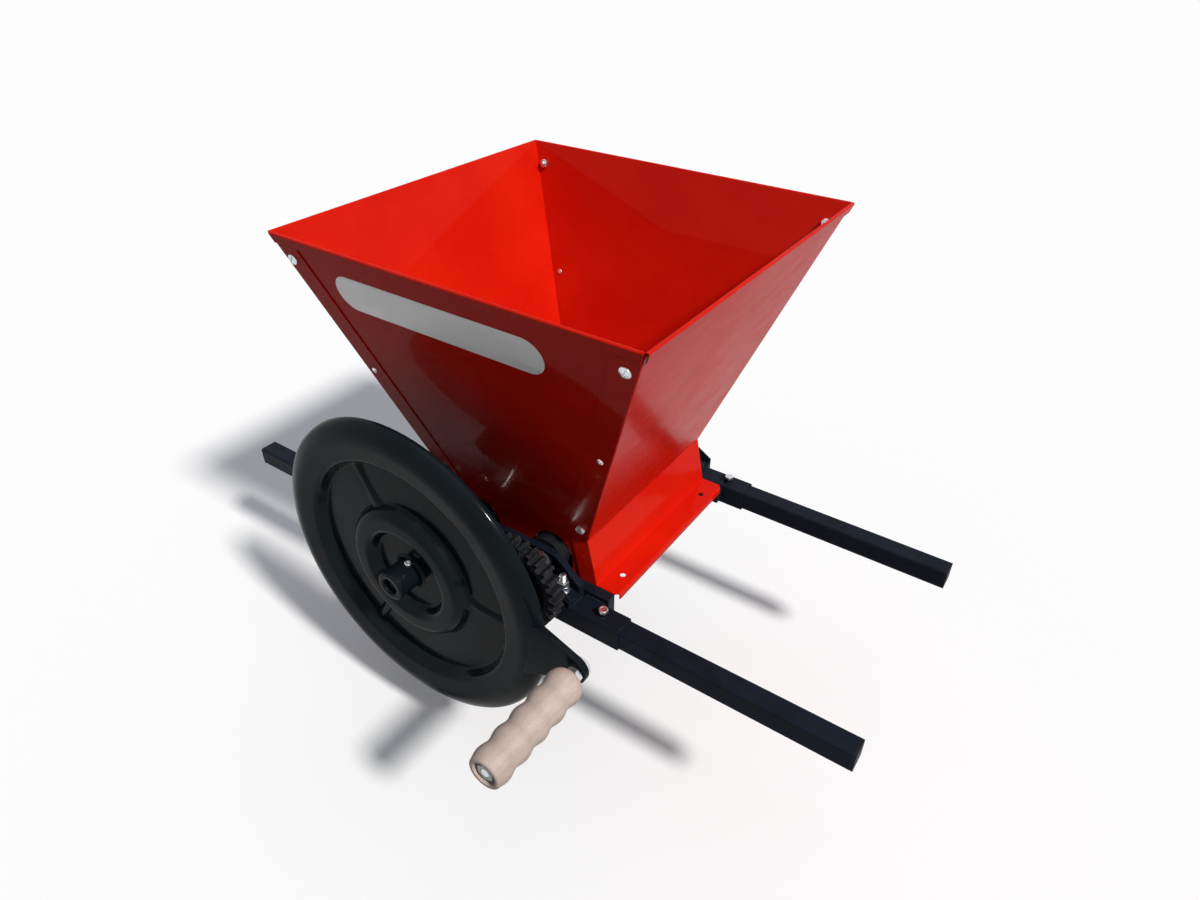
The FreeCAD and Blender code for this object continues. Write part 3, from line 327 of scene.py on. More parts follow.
def label_vinyl():
    """Off-white label film with a satin laminate, laid over the waves of the sheet."""
    made = Finish("label_vinyl", IOR=1.5, Specular_IOR_Level=0.8,
                  Coat_Weight=1.0, Coat_Roughness=0.4, Coat_IOR=1.5)
    cloud = made.cloud(18.0, 3.0)
    base = made.mix(cloud, (0.86, 0.86, 0.85), (0.90, 0.90, 0.89))
    dirt = made.range(made.noise(240.0, 4.0, 0.65), 0.64, 0.80, 0.0, 0.22)
    made.set("Base Color", made.mix(dirt, base, (0.42, 0.38, 0.35)))
    made.rough(0.36, 0.50, 60.0, 3.0)
    made.bump((made.noise(WAVE_SCALE, 1.0), WAVE_DEPTH), (made.noise(900.0, 2.0), 0.000015))
    return made.material


red = red_enamel()
powder = black_powder_coat()
casting = black_gloss_casting()
gear_enamel = black_gear_enamel()
aluminium = cast_aluminium()
steel = turned_steel()
zinc = bright_zinc()
darker_zinc = dull_zinc()
rivet_bright = rivet_metal()
plastic = moulded_plastic()
beech = turned_beech()
vinyl = label_vinyl()

FINISHES = {"red_sheet": red, "black_steel": powder, "black_casting": casting,
            "roller_casting": aluminium, "bare_steel": steel, "zinc": zinc,
            "rivet_aluminium": rivet_bright, "cap_plastic": plastic, "beech": beech}
for part in frame["record"]["subparts"]:
    finish = FINISHES[part["material_slot"]]
    if part["node"].startswith(("gear_left", "gear_right", "bearing_bush")):
        finish = gear_enamel
    for holder in nodes[part["node"]].material_slots:
        holder.material = finish


# Sizes that the solids have

sheet = 1.2
lap = 2 * sheet  # an end wall and the strip over it
waist_z = 60.4
waist_half_x = 103.378
waist_half_y = 123.2
slope_x = 0.38041
slope_y = 0.29237
strip_y = 124.4
fastener_inset = 12.5
axle_x = 54.0
axle_z = 23.0
rail_y = 150.4
seat_bar_y = 136.4
seat_bar_bottom = -31.2
seat_bar_half = 140.578
socket_top = -9.4
body_screw = (101.878, 122.0, -18.0)
clamp_x = 143.0
clamp_head_rise = 5.3
bracket_half = 107.0
stud_x = 88.0
stud_top = 22.0
bracket_foot = -2.0
washer = 1.6
web_front = 241.0
wheel_back = 204.0
wheel_front = 276.0
crank_radius = 232.3
crank_angle = math.radians(-1.9)
crank_x = -axle_x + crank_radius * math.cos(crank_angle)
crank_z = axle_z + crank_radius * math.sin(crank_angle)
ear_back = 243.0
ear_front = 251.0
grip_near = 259.5
grip_far = 388.0
grip_recess = 12.0
grip_washer = 2.0
axial_play = 0.3
end_lean = math.atan(slope_y)
end_normal = Vector((0, math.cos(end_lean), -math.sin(end_lean)))
# How far up an end wall each kind of fastener sits from the waist.
RISES = {"bolt": 22.0, "rivet": 160.0, "screw": 295.0}

Thread = namedtuple("Thread", "radius pitch across")
M6 = Thread(3.0, 1.0, 10.0)
M8 = Thread(4.0, 1.25, 13.0)
M10 = Thread(5.0, 1.5, 17.0)
M6_HEAD = 4.0
M6_NUT = 5.0
M8_NUT = 6.5
M10_HEAD = 6.4
JAM_NUT = 6.4
LOCK_NUT = 8.0
SCREW_LENGTH = 9.4
BOLT_LENGTH = 10.6
BODY_SCREW_LENGTH = 11.4
CLAMP_LENGTH = 6.65
CRANK_LENGTH = 143.7


def hopper_x(z, out):
    """Half the hopper's width inside, plus a way out at right angles to the side wall."""
    return waist_half_x + (z - waist_z) * slope_x + out * math.hypot(1, slope_x)


def hopper_y(z):
    return waist_half_y + (z - waist_z) * slope_y


# Shapes

class Form:
    """Points and faces of one piece, gathered from several shapes."""

    def __init__(self):
        self.points = []
        self.faces = []

    def add(self, shape, placed=None):
        points, faces = shape
        start = len(self.points)
        if placed is not None:
            points = [placed @ Vector(point) for point in points]
        self.points += [tuple(point) for point in points]
        self.faces += [tuple(start + index for index in face) for face in faces]

    def piece(self, name, body, finish, slot, stands_for=(), sharp=32.0):
        mesh = bpy.data.meshes.new(name)
        mesh.from_pydata([(x * MM, y * MM, z * MM) for x, y, z in self.points], [], self.faces)
        mesh.validate()
        mesh.materials.append(finish)
        mesh.shade_smooth()
        mesh.set_sharp_from_angle(angle=math.radians(sharp))
        made = in_scene(name, mesh)
        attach(made, body)
        if stands_for:
            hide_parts(*stands_for)


def joined(loops, closed=False, start=False, end=False):
    """Faces between successive loops of equally many points; start and end close it."""
    count = len(loops[0])
    points = [point for loop in loops for point in loop]
    faces = []
    for row in range(len(loops) if closed else len(loops) - 1):
        ahead = (row + 1) % len(loops)
        for index in range(count):
            beside = (index + 1) % count
            faces.append((row * count + index, row * count + beside,
                          ahead * count + beside, ahead * count + index))
    if start:
        faces.append(tuple(range(count))[::-1])
    if end:
        last = (len(loops) - 1) * count
        faces.append(tuple(last + index for index in range(count)))
    return points, faces


def turns(count):
    """Angles of a full turn in equal steps."""
    return [2 * math.pi * index / count for index in range(count)]


def circle(radius, z, angles):
    return [(radius * math.cos(angle), radius * math.sin(angle), z) for angle in angles]


def lathed(profile, count, closed=False, start=False, end=False):
    """A profile in radius and Z, turned round Z."""
    return joined([circle(radius, z, turns(count)) for radius, z in profile], closed, start, end)


def seated(point, outward, twist=0.0):
    """Places a shape made on Z so that its Z points outward from a point."""
    turn = UP.rotation_difference(Vector(outward)).to_matrix().to_4x4()
    return Matrix.Translation(Vector(point)) @ turn @ Matrix.Rotation(twist, 4, "Z")


def on_y(shape):
    """A shape made on Z, turned so that its Z is Y."""
    points, faces = shape
    return [(x, z, y) for x, y, z in points], [face[::-1] for face in faces]


HEX_STEPS = 48
FLAT_SHARE = 0.475  # radius of the flat inside a hexagon's chamfer, as a share of its width
CHAMFER = math.radians(30)
CLOSING = 0.05  # radius of the loop that closes a face


def hex_radius(across, angle):
    """Distance from the middle to the side of a hexagon with a corner at angle 0."""
    off = math.degrees(angle) % 60 - 30
    return across / 2 / math.cos(math.radians(off))


def hex_loop(across, z, slant, angles):
    """Hexagon whose corners are lowered along the chamfer's cone."""
    flat = FLAT_SHARE * across
    loop = []
    for angle in angles:
        radius = hex_radius(across, angle)
        drop = (radius - flat) * math.tan(CHAMFER) * slant
        loop.append((radius * math.cos(angle), radius * math.sin(angle), z - drop))
    return loop


def hex_head(size, height):
    """Bolt head: washer face below, chamfered corners and a shallow dish on top."""
    angles = turns(HEX_STEPS)
    across = size.across
    washer_face = 0.46 * across
    dish = 0.36 * across
    dish_foot = 0.32 * across
    loops = [circle(washer_face, 0, angles), circle(washer_face, 0.3, angles),
             hex_loop(across, 0.35, 0, angles), hex_loop(across, height, 1, angles),
             circle(FLAT_SHARE * across, height, angles), circle(dish, height, angles),
             circle(dish_foot, height - 0.25, angles), circle(CLOSING, height - 0.3, angles)]
    return joined(loops, start=True, end=True)


def hex_nut(size, height):
    """Nut with both faces chamfered and its bore countersunk at both ends."""
    angles = turns(HEX_STEPS)
    across = size.across
    flat = FLAT_SHARE * across
    mouth = size.radius + 0.5
    bore = size.radius - 0.1
    sink = 0.6
    loops = [circle(mouth, 0, angles), circle(flat, 0, angles),
             hex_loop(across, 0, -1, angles), hex_loop(across, height, 1, angles),
             circle(flat, height, angles), circle(mouth, height, angles),
             circle(bore, height - sink, angles), circle(bore, sink, angles)]
    return joined(loops, closed=True)


THREAD_STEPS = 40
STEPS_PER_PITCH = 6
THREAD_DEPTH = 0.58  # as a share of the pitch
FLANK = 2.6  # slope of the thread's flanks, and how much of its root stays flat
ROOT_FLAT = 0.2


def threaded(size, length, tip=0.6):
    """Screw thread from Z 0 up to a length, with a chamfered tip."""
    angles = turns(THREAD_STEPS)
    depth = THREAD_DEPTH * size.pitch
    steps = max(2, round((length - tip) / size.pitch * STEPS_PER_PITCH))
    loops = []
    for step in range(steps + 1):
        z = (length - tip) * step / steps
        loop = []
        for angle in angles:
            phase = (z / size.pitch - angle / (2 * math.pi)) % 1.0
            dip = min(1.0, max(0.0, abs(phase - 0.5) * FLANK - ROOT_FLAT))
            cut = size.radius - depth * (1 - dip)
            loop.append((cut * math.cos(angle), cut * math.sin(angle), z))
        loops.append(loop)
    core = size.radius - depth
    loops.append(circle(core - 0.15 * tip, length - 0.3 * tip, angles))
    loops.append(circle(core - 0.7 * tip, length, angles))
    return joined(loops, start=True, end=True)


def cut_away(shape, tool):
    """The first shape less the second."""
    holders = []
    for points, faces in (shape, tool):
        mesh = bpy.data.meshes.new("working")
        mesh.from_pydata([tuple(point) for point in points], [], faces)
        mesh.validate()
        holders.append(in_scene("working", mesh))
    change = holders[0].modifiers.new("cut", "BOOLEAN")
    change.operation = "DIFFERENCE"
    change.solver = "EXACT"
    change.object = holders[1]
    graph = bpy.context.evaluated_depsgraph_get()
    result = bpy.data.meshes.new_from_object(holders[0].evaluated_get(graph))
    points = [tuple(vertex.co) for vertex in result.vertices]
    faces = [tuple(polygon.vertices) for polygon in result.polygons]
    for holder in holders:
        bpy.data.objects.remove(holder)
    return points, faces


SQUARE = ((-1, -1), (1, -1), (1, 1), (-1, 1))


def brick(x, y, z):
    """A box round the Z axis, x by y, between the two heights in z."""
    points = [(a * x / 2, b * y / 2, c) for c in z for a, b in SQUARE]
    return joined([points[:4], points[4:]], start=True, end=True)


PAN_RADIUS = 6.0
PAN_HEIGHT = 3.6
PAN_ROUNDING = 1.5
SLOT_WIDTH = 1.5
SLOT_DEPTH = 1.7


def pan_head(radius, height):
    """Slotted pan head on Z 0: a short wall, a rounded corner and a low crown."""
    rise = 0.35 * height
    corner = height - rise
    wall = 0.45 * corner
    profile = [(0.93 * radius, 0), (radius, 0.25), (radius, wall)]
    for step in range(1, 7):
        angle = math.radians(90 * step / 6)
        profile.append((radius - PAN_ROUNDING * (1 - math.cos(angle)),
                        wall + 0.55 * corner * math.sin(angle)))
    shoulder = profile[-1][0]
    for step in range(1, 6):
        out = shoulder * (1 - step / 5.0) + 0.02
        profile.append((out, corner + rise * (1 - (out / shoulder) ** 2)))
    head = lathed(profile, 48, start=True, end=True)
    return cut_away(head, brick(3 * radius, SLOT_WIDTH, (height - SLOT_DEPTH, height + 1)))


def socket_screw(radius, length, across):
    """Grub screw with a hexagon socket in its top at Z length."""
    angles = turns(HEX_STEPS)
    chamfer = 0.6
    loops = [circle(radius, 0, angles), circle(radius, length - chamfer, angles),
             circle(radius - chamfer, length, angles)]
    for depth, grow in ((0.0, 1.06), (0.2, 1.0), (2.4, 1.0)):
        loops.append([(grow * hex_radius(across, angle) * math.cos(angle),
                       grow * hex_radius(across, angle) * math.sin(angle), length - depth)
                      for angle in angles])
    loops.append(circle(CLOSING, length - 3.0, angles))
    return joined(loops, start=True, end=True)


RIVET_RADIUS = 3.6
RIVET_HEIGHT = 1.2
RIVET_RIM = 0.12
MANDREL_HOLE = 1.05


def rivet_head(radius, height):
    """Domed head with the small hole that the mandrel leaves."""
    profile = [(radius, 0)]
    for step in range(1, 10):
        angle = math.radians(10 * step)
        profile.append((radius * math.cos(angle),
                        RIVET_RIM + (height - RIVET_RIM) * math.sin(angle)))
    profile = [point for point in profile if point[0] > MANDREL_HOLE]
    profile += [(1.0, height - 0.03), (0.9, height - 0.12),
                (0.85, height - 0.75), (0.02, height - 0.7)]
    return lathed(profile, 36, start=True, end=True)


# Fasteners of the hopper

SEEN_TWIST = math.radians(62)  # how the slot of the screw nearest the camera lies


def corners():
    """Each corner as its end and side, minus one or one."""
    return [(end, side) for end in (-1, 1) for side in (-1, 1)]


def on_end_wall(kind, end, side, out):
    """A place on an end wall out from its inner face, and the wall's outward direction."""
    z = waist_z + RISES[kind] * math.cos(end_lean)
    x = side * (hopper_x(z, sheet) - fastener_inset)
    outward = Vector((0, end * end_normal.y, end_normal.z))
    return Vector((x, end * hopper_y(z), z)) + outward * out, outward


def hopper_hardware():
    screws, screw_nuts, bolts, bolt_nuts, rivets = (Form() for _ in range(5))
    head = pan_head(PAN_RADIUS, PAN_HEIGHT)
    rivet = rivet_head(RIVET_RADIUS, RIVET_HEIGHT)
    for end, side in corners():
        seat, outward = on_end_wall("screw", end, side, lap)
        twist = rng.uniform(0, math.pi)
        if end < 0 < side:
            twist = SEEN_TWIST
        screws.add(head, seated(seat, outward, twist))
        screws.add(threaded(M6, SCREW_LENGTH), seated(seat, -outward))
        seat, outward = on_end_wall("screw", end, side, 0.0)
        screw_nuts.add(hex_nut(M6, M6_NUT), seated(seat, -outward, rng.uniform(0, 1)))
        seat, outward = on_end_wall("bolt", end, side, lap)
        bolts.add(hex_head(M6, M6_HEAD), seated(seat, outward, rng.uniform(0, 1)))
        bolts.add(threaded(M6, BOLT_LENGTH), seated(seat, -outward))
        seat, outward = on_end_wall("bolt", end, side, -sheet)
        bolt_nuts.add(hex_nut(M6, M6_NUT), seated(seat, -outward, rng.uniform(0, 1)))
        seat, outward = on_end_wall("rivet", end, side, lap)
        rivets.add(rivet, seated(seat, outward))
        seat, outward = on_end_wall("rivet", end, side, 0.0)
        rivets.add(rivet, seated(seat, -outward))
    screws.piece("slotted_screws", "frame", zinc, "zinc", ["hopper_screws"])
    screw_nuts.piece("slotted_screw_nuts", "frame", zinc, "zinc", ["hopper_screw_nuts"])
    bolts.piece("waist_bolts", "frame", zinc, "zinc", ["hopper_bolts"])
    bolt_nuts.piece("waist_bolt_nuts", "frame", zinc, "zinc", ["hopper_bolt_nuts"])
    rivets.piece("corner_rivets", "frame", rivet_bright, "rivet_aluminium", ["hopper_rivets"])


hopper_hardware()


# Fasteners of the body and the under-frame

def underframe_hardware():
    body_screws, clamp_nuts, clamp_bolts, studs, stud_nuts = (Form() for _ in range(5))
    for end, side in corners():
        seat = Vector((side * body_screw[0], end * body_screw[1], body_screw[2]))
        body_screws.add(hex_head(M6, M6_HEAD), seated(seat, (0, -end, 0), rng.uniform(0, 1)))
        body_screws.add(threaded(M6, BODY_SCREW_LENGTH), seated(seat, (0, end, 0)))
        top = Vector((side * clamp_x, end * rail_y, socket_top))
        twist = rng.uniform(0, 1)
        clamp_nuts.add(hex_nut(M6, M6_NUT), seated(top, UP, twist))
        clamp_nuts.add(ring_bead(5.4, 1.1, 0.35), seated(top, UP))
        head = top + UP * clamp_head_rise
        clamp_bolts.add(hex_head(M6, M6_HEAD), seated(head, UP, twist + 0.4))
        clamp_bolts.add(threaded(M6, CLAMP_LENGTH), seated(head, -UP))
        foot = Vector((side * stud_x, end * rail_y, socket_top))
        studs.add(threaded(M8, stud_top - socket_top, 1.0), seated(foot, UP))
        for count in range(2):
            base = Vector((foot.x, foot.y, bracket_foot + washer + M8_NUT * count))
            stud_nuts.add(hex_nut(M8, M8_NUT), seated(base, UP, rng.uniform(0, 1)))
    body_screws.piece("seat_bar_screws", "frame", zinc, "zinc", ["body_screws"])
    clamp_nuts.piece("welded_clamp_nuts", "frame", powder, "black_steel", ["clamp_nuts"])
    clamp_bolts.piece("arm_clamp_bolts", "frame", zinc, "zinc", ["clamp_bolts"])
    studs.piece("threaded_studs", "frame", zinc, "zinc", ["bracket_studs"])
    stud_nuts.piece("stud_nuts", "frame", zinc, "zinc", ["bracket_nuts"])


RING_DROPS = 17
RING_FLATNESS = 0.8


def ring_bead(radius, thick, wobble):
    """Weld bead laid round a nut, rippled like a run of small drops."""
    loops = []
    for angle in turns(60):
        swell = thick + wobble * math.sin(RING_DROPS * angle)
        loop = []
        for a in turns(12):
            out = radius + swell * math.cos(a)
            loop.append((out * math.cos(angle), out * math.sin(angle),
                         RING_FLATNESS * swell * math.sin(a)))
        loops.append(loop)
    return joined(loops, closed=True)


underframe_hardware()


WELD_SUNK = 0.25  # how much of a bead's depth is left behind a face
WELD_STEP = 0.4
WELD_RIPPLE = 0.10
WELD_RIPPLE_LENGTH = 1.9
WELD_WIDTH = 1.25
WELD_HALF_LENGTH = 14
SEAT_WELD = 2.1
BRACKET_WELD = 1.5


def straight_bead(start, end, thick, lift):
    """Weld bead from one point to another in a corner whose open side faces lift.

    Behind either face of the corner it is pressed flat, so that it stays within a tube's wall.
    """
    start = Vector(start)
    end = Vector(end)
    along = (end - start).normalized()
    out = Vector(lift).normalized()
    across = along.cross(out)
    faces = ((out + across).normalized(), (out - across).normalized())
    length = (end - start).length
    steps = max(8, round(length / WELD_STEP))
    loops = []
    for step in range(steps + 1):
        t = step / steps
        ripple = 1 + WELD_RIPPLE * math.sin(2 * math.pi * length * t / WELD_RIPPLE_LENGTH)
        taper = min(1.0, 8 * t + 0.15, 8 * (1 - t) + 0.15)
        radius = thick * ripple * math.sqrt(taper)
        middle = start + along * (length * t)
        loop = []
        for a in turns(14):
            offset = out * (radius * math.cos(a)) + across * (WELD_WIDTH * radius * math.sin(a))
            point = middle.copy()
            for face in faces:
                height = offset.dot(face)
                point += face * max(height, WELD_SUNK * height)
            loop.append(tuple(point))
        loops.append(loop)
    return joined(loops, start=True, end=True)


def weld_beads():
    beads = Form()
    outermost = seat_bar_half - 18
    for end in (-1, 1):
        y = end * seat_bar_y
        for middle in (-outermost, -60, 0, 60, outermost):
            left = middle - WELD_HALF_LENGTH
            right = middle + WELD_HALF_LENGTH
            if abs(middle) > bracket_half:
                beads.add(straight_bead((left, y, socket_top), (right, y, socket_top),
                                        SEAT_WELD, (0, end, 1)))
            beads.add(straight_bead((left, y, seat_bar_bottom), (right, y, seat_bar_bottom),
                                    SEAT_WELD, (0, -end, -1)))
        for side in (-1, 1):
            x = side * bracket_half
            inner, outer = end * (seat_bar_y + 4), end * (seat_bar_y + 24)
            beads.add(straight_bead((x, inner, socket_top), (x, outer, socket_top),
                                    BRACKET_WELD, (side, 0, 1)))
    beads.piece("weld_beads", "frame", powder, "black_steel")


weld_beads()


PRINT_PROFILE = [(3.2, 0.0), (2.9, 0.16), (2.3, 0.20), (1.9, 0.06), (0.02, 0.03)]
PRINT_PLACES = [(95.6, 33.1), (98.4, 22.9), (97.2, 46.0)]


def spot_welds():
    """Shallow round prints where the strips of the body are spot-welded to its end plates."""
    prints = Form()
    disc = lathed(PRINT_PROFILE, 32, end=True)
    for x, z in PRINT_PLACES:
        for end, side in corners():
            prints.add(disc, seated((side * x, end * strip_y, z), (0, end, 0)))
    prints.piece("spot_weld_prints", "frame", red, "red_sheet")


spot_welds()


# Label, left bare

LABEL_HALF = 109.5
LABEL_RADIUS = 21.0
LABEL_X = -18.5
LABEL_RISE = 271.0
# Rings from the film's edge inwards: share of width, share of height, way out of the wall.
LABEL_RINGS = [(1.0, 1.0, 1.2), (1.0, 1.0, 1.32), (1.0, 0.994, 1.36), (0.6, 0.6, 1.36),
               (0.2, 0.2, 1.36)]


def label():
    """Label film with round ends on the front wall."""
    outline = []
    for side in (1, -1):
        for step in range(25):
            angle = math.radians(-90 + 180 * step / 24)
            outline.append((side * (LABEL_HALF + LABEL_RADIUS * math.cos(angle)),
                            side * LABEL_RADIUS * math.sin(angle)))
    outward = Vector((0, -end_normal.y, end_normal.z))
    upward = Vector((0, -math.sin(end_lean), math.cos(end_lean)))
    base = Vector((LABEL_X, -waist_half_y, waist_z)) + upward * LABEL_RISE
    loops = []
    for width, height, out in LABEL_RINGS:
        loop = []
        for a, b in outline:
            point = base + Vector((a * width, 0, 0)) + upward * (b * height) + outward * out
            loop.append(tuple(point))
        loops.append(loop)
    form = Form()
    form.add(joined(loops, end=True))
    form.piece("label_film", "frame", vinyl, "red_sheet")


label()


# Flywheel

def left_of(start, end):
    """Unit vector to the left of the way from one point to another."""
    run = math.hypot(end[0] - start[0], end[1] - start[1])
    return (start[1] - end[1]) / run, (end[0] - start[0]) / run


def shifted(line, distance):
    """A bent line moved to its left, with its corners mitred."""
    last = len(line) - 1
    moved = []
    for index, point in enumerate(line):
        before = left_of(line[max(index, 1) - 1], line[max(index, 1)])
        after = left_of(line[min(index, last - 1)], line[min(index, last - 1) + 1])
        share = distance / (1 + before[0] * after[0] + before[1] * after[1])
        moved.append((point[0] + share * (before[0] + after[0]),
                      point[1] + share * (before[1] + after[1])))
    return moved


ARC_STEP = 7.0  # degrees


def softened(line, radii):
    """Points along a bent line whose corners are rounded."""
    points = [line[0]]
    for index in range(1, len(line) - 1):
        corner = Vector(line[index])
        to_back = (Vector(line[index - 1]) - corner).normalized()
        to_ahead = (Vector(line[index + 1]) - corner).normalized()
        half = to_back.angle(to_ahead) / 2
        radius = radii[index - 1]
        reach = radius / math.tan(half)
        centre = corner + (to_back + to_ahead).normalized() * (radius / math.sin(half))
        first = corner + to_back * reach - centre
        sweep = math.pi - 2 * half
        turn = 1 if to_back.x * to_ahead.y - to_back.y * to_ahead.x < 0 else -1
        count = max(3, math.ceil(math.degrees(sweep) / ARC_STEP))
        for part in range(count + 1):
            angle = turn * sweep * part / count
            x = first.x * math.cos(angle) - first.y * math.sin(angle)
            y = first.x * math.sin(angle) + first.y * math.cos(angle)
            points.append((centre.x + x, centre.y + y))
    points.append(line[-1])
    return points


def divided(line, longest):
    """The same line with points no further apart than a length."""
    points = [line[0]]
    for start, end in zip(line, line[1:]):
        run = math.hypot(end[0] - start[0], end[1] - start[1])
        count = max(1, math.ceil(run / longest))
        points += [(start[0] + (end[0] - start[0]) * k / count,
                    start[1] + (end[1] - start[1]) * k / count) for k in range(1, count + 1)]
    return points


RIBS = [math.radians(-2.0 + 120 * index) for index in range(3)]
RIB_FOOT = 88.0
RIB_END = 135.0
RIB_CREST = 3.2
RIB_ROUND = 7.0
RIB_HALF = 6.9
RIB_FLARE = 0.7
RIB_FLARE_REACH = 6
FAR_BELOW = -30.0


def rib_height(radius, angle):
    """Height of the nearest rib above the web: a round back, wider towards both ends."""
    highest = FAR_BELOW
    flare = (1 + RIB_FLARE * math.exp((RIB_FOOT - radius) / RIB_FLARE_REACH)
             + RIB_FLARE * math.exp((radius - RIB_END) / RIB_FLARE_REACH))
    for rib in RIBS:
        if math.cos(angle - rib) > 0.5:
            off = min(RIB_HALF, abs(radius * math.sin(angle - rib)) / flare)
            drop = RIB_ROUND - math.sqrt(RIB_ROUND ** 2 - off ** 2)
            highest = max(highest, RIB_CREST - drop)
    return highest


# Steps round the wheel and the least between two of them, in degrees.
WHEEL_STEP = 1.5
RIB_STEP = 0.4
RIB_STEPS = 20
LEAST_STEP = 0.15


def wheel_angles():
    """Directions round the wheel, closer together across the ribs."""
    found = {round(WHEEL_STEP * index, 3) for index in range(round(360 / WHEEL_STEP))}
    for rib in RIBS:
        middle = math.degrees(rib) % 360
        for index in range(-RIB_STEPS, RIB_STEPS + 1):
            found.add(round((middle + RIB_STEP * index) % 360, 3))
    ordered = sorted(found)
    kept = [ordered[0]]
    for value in ordered[1:]:
        if value - kept[-1] > LEAST_STEP:
            kept.append(value)
    return [math.radians(value) for value in kept]


# The wheel's section on its front, from hub to rim as (radius, y), and the radii of its bends.
WHEEL_LINE = [(13.0, -243.0), (49.5, -243.0), (55.8, -255.6), (79.2, -255.6), (86.0, -241.0),
              (137.0, -241.0), (143.5, -254.0), (172.0, -258.0), (190.0, -249.5), (190.0, -241.0)]
WHEEL_RADII = [4.0, 5.0, 9.0, 3.0, 2.0, 4.0, 25.0, 9.5]
WHEEL_WALL = 3.0
WHEEL_EDGE = [(190.0, -241.5), (189.7, -241.15), (189.1, -241.0), (187.9, -241.0),
              (187.3, -241.15)]
EDGE_BACK = (187.0, -241.5)
LONGEST_STEP = 4.0
RIB_ZONE = (60.0, 150.0)  # radii between which the ribs rise
RIB_MERGE = 1.2  # hollow between rib and web, a length squared


def wheel_disc():
    """The dished wheel: its section turned round Y, with the ribs raised on its front."""
    near_radii = []
    far_radii = []
    for index, radius in enumerate(WHEEL_RADII):
        before = left_of(WHEEL_LINE[index], WHEEL_LINE[index + 1])
        after = left_of(WHEEL_LINE[index + 1], WHEEL_LINE[index + 2])
        turns_left = before[0] * after[1] - before[1] * after[0] > 0
        near_radii.append(radius + (WHEEL_WALL if turns_left else 0))
        far_radii.append(radius + (0 if turns_left else WHEEL_WALL))
    near = divided(softened(WHEEL_LINE, near_radii), LONGEST_STEP)[:-1] + WHEEL_EDGE
    far = softened(shifted(WHEEL_LINE, WHEEL_WALL), far_radii)[:-1] + [EDGE_BACK]
    loops = []
    for angle in wheel_angles():
        loop = []
        for radius, y in near:
            if RIB_ZONE[0] < radius < RIB_ZONE[1]:
                disc = -web_front - y
                rib = rib_height(radius, angle)
                y = -web_front - 0.5 * (disc + rib + math.sqrt((disc - rib) ** 2 + RIB_MERGE))
            loop.append((radius * math.cos(angle), y, radius * math.sin(angle)))
        loop += [(radius * math.cos(angle), y, radius * math.sin(angle)) for radius, y in far[::-1]]
        loops.append(loop)
    return joined(loops, closed=True)


HUB_BORE = 10.05
HUB_RADIUS = 17.5
HUB_FILLET = 5.0
HUB_FILLET_Y = -248.0


def wheel_hub():
    """Hub turned on Y as (radius, y), with a fillet where it leaves the disc."""
    profile = [(HUB_BORE, -wheel_back), (16.6, -wheel_back), (HUB_RADIUS, -wheel_back - 0.9),
               (HUB_RADIUS, -238.0), (17.6, -239.0)]
    for step in range(9):
        angle = math.radians(90 * step / 8)
        profile.append((HUB_RADIUS + HUB_FILLET - HUB_FILLET * math.sin(angle),
                        HUB_FILLET_Y + HUB_FILLET * math.cos(angle)))
    profile += [(HUB_RADIUS, -wheel_front + 1.3), (17.1, -wheel_front + 0.4),
                (16.3, -wheel_front), (11.2, -wheel_front), (10.3, -wheel_front + 0.5),
                (HUB_BORE, -wheel_front + 1.2)]
    return on_y(lathed(profile, 64, closed=True))


LUG_ROOT = 150.0
LUG_ROOT_HALF = 45.0
LUG_TIP = 18.0
LUG_MIDDLE = crank_radius - 6.8
LUG_SLOPE_END = crank_radius - 27.3
LUG_EDGE = 1.6
LUG_SPLIT = 0.05  # keeps the outline's halves apart at the tip
FLANK_STEPS = 40
TIP_STEPS = 16
EDGE_STEPS = 5
CREST_RADIUS = 172.0
CREST_Y = 256.5
CREST_REACH = 8  # further in than this, the lug lies under the disc
HOLLOW = 0.0004  # softens the foot of the slope


def lug_front(x):
    """How far ahead the lug's front face is: down from the rim's crest, then flat."""
    share = min(1.0, max(0.0, (x - CREST_RADIUS) / (LUG_SLOPE_END - CREST_RADIUS)))
    if x < CREST_RADIUS - CREST_REACH:
        return ear_front
    return ear_front + (CREST_Y - ear_front) * max(0.0, 1 - math.sqrt(share ** 2 + HOLLOW))


def lug_outline():
    """Half outline of the lug, from its root along the flank and round half the tip."""
    reach = LUG_MIDDLE - LUG_ROOT
    slope = (math.atan2(LUG_ROOT_HALF, reach)
             - math.asin(LUG_TIP / math.hypot(LUG_ROOT_HALF, reach)))
    start_angle = math.pi / 2 - slope
    first = (LUG_MIDDLE + LUG_TIP * math.cos(start_angle), LUG_TIP * math.sin(start_angle))
    root_z = first[1] + (first[0] - LUG_ROOT) * math.tan(slope)
    points = [(LUG_ROOT + (first[0] - LUG_ROOT) * k / FLANK_STEPS,
               root_z + (first[1] - root_z) * k / FLANK_STEPS) for k in range(FLANK_STEPS)]
    for step in range(TIP_STEPS + 1):
        angle = start_angle * (1 - step / TIP_STEPS)
        points.append((LUG_MIDDLE + LUG_TIP * math.cos(angle),
                       max(LUG_SPLIT, LUG_TIP * math.sin(angle))))
    return points


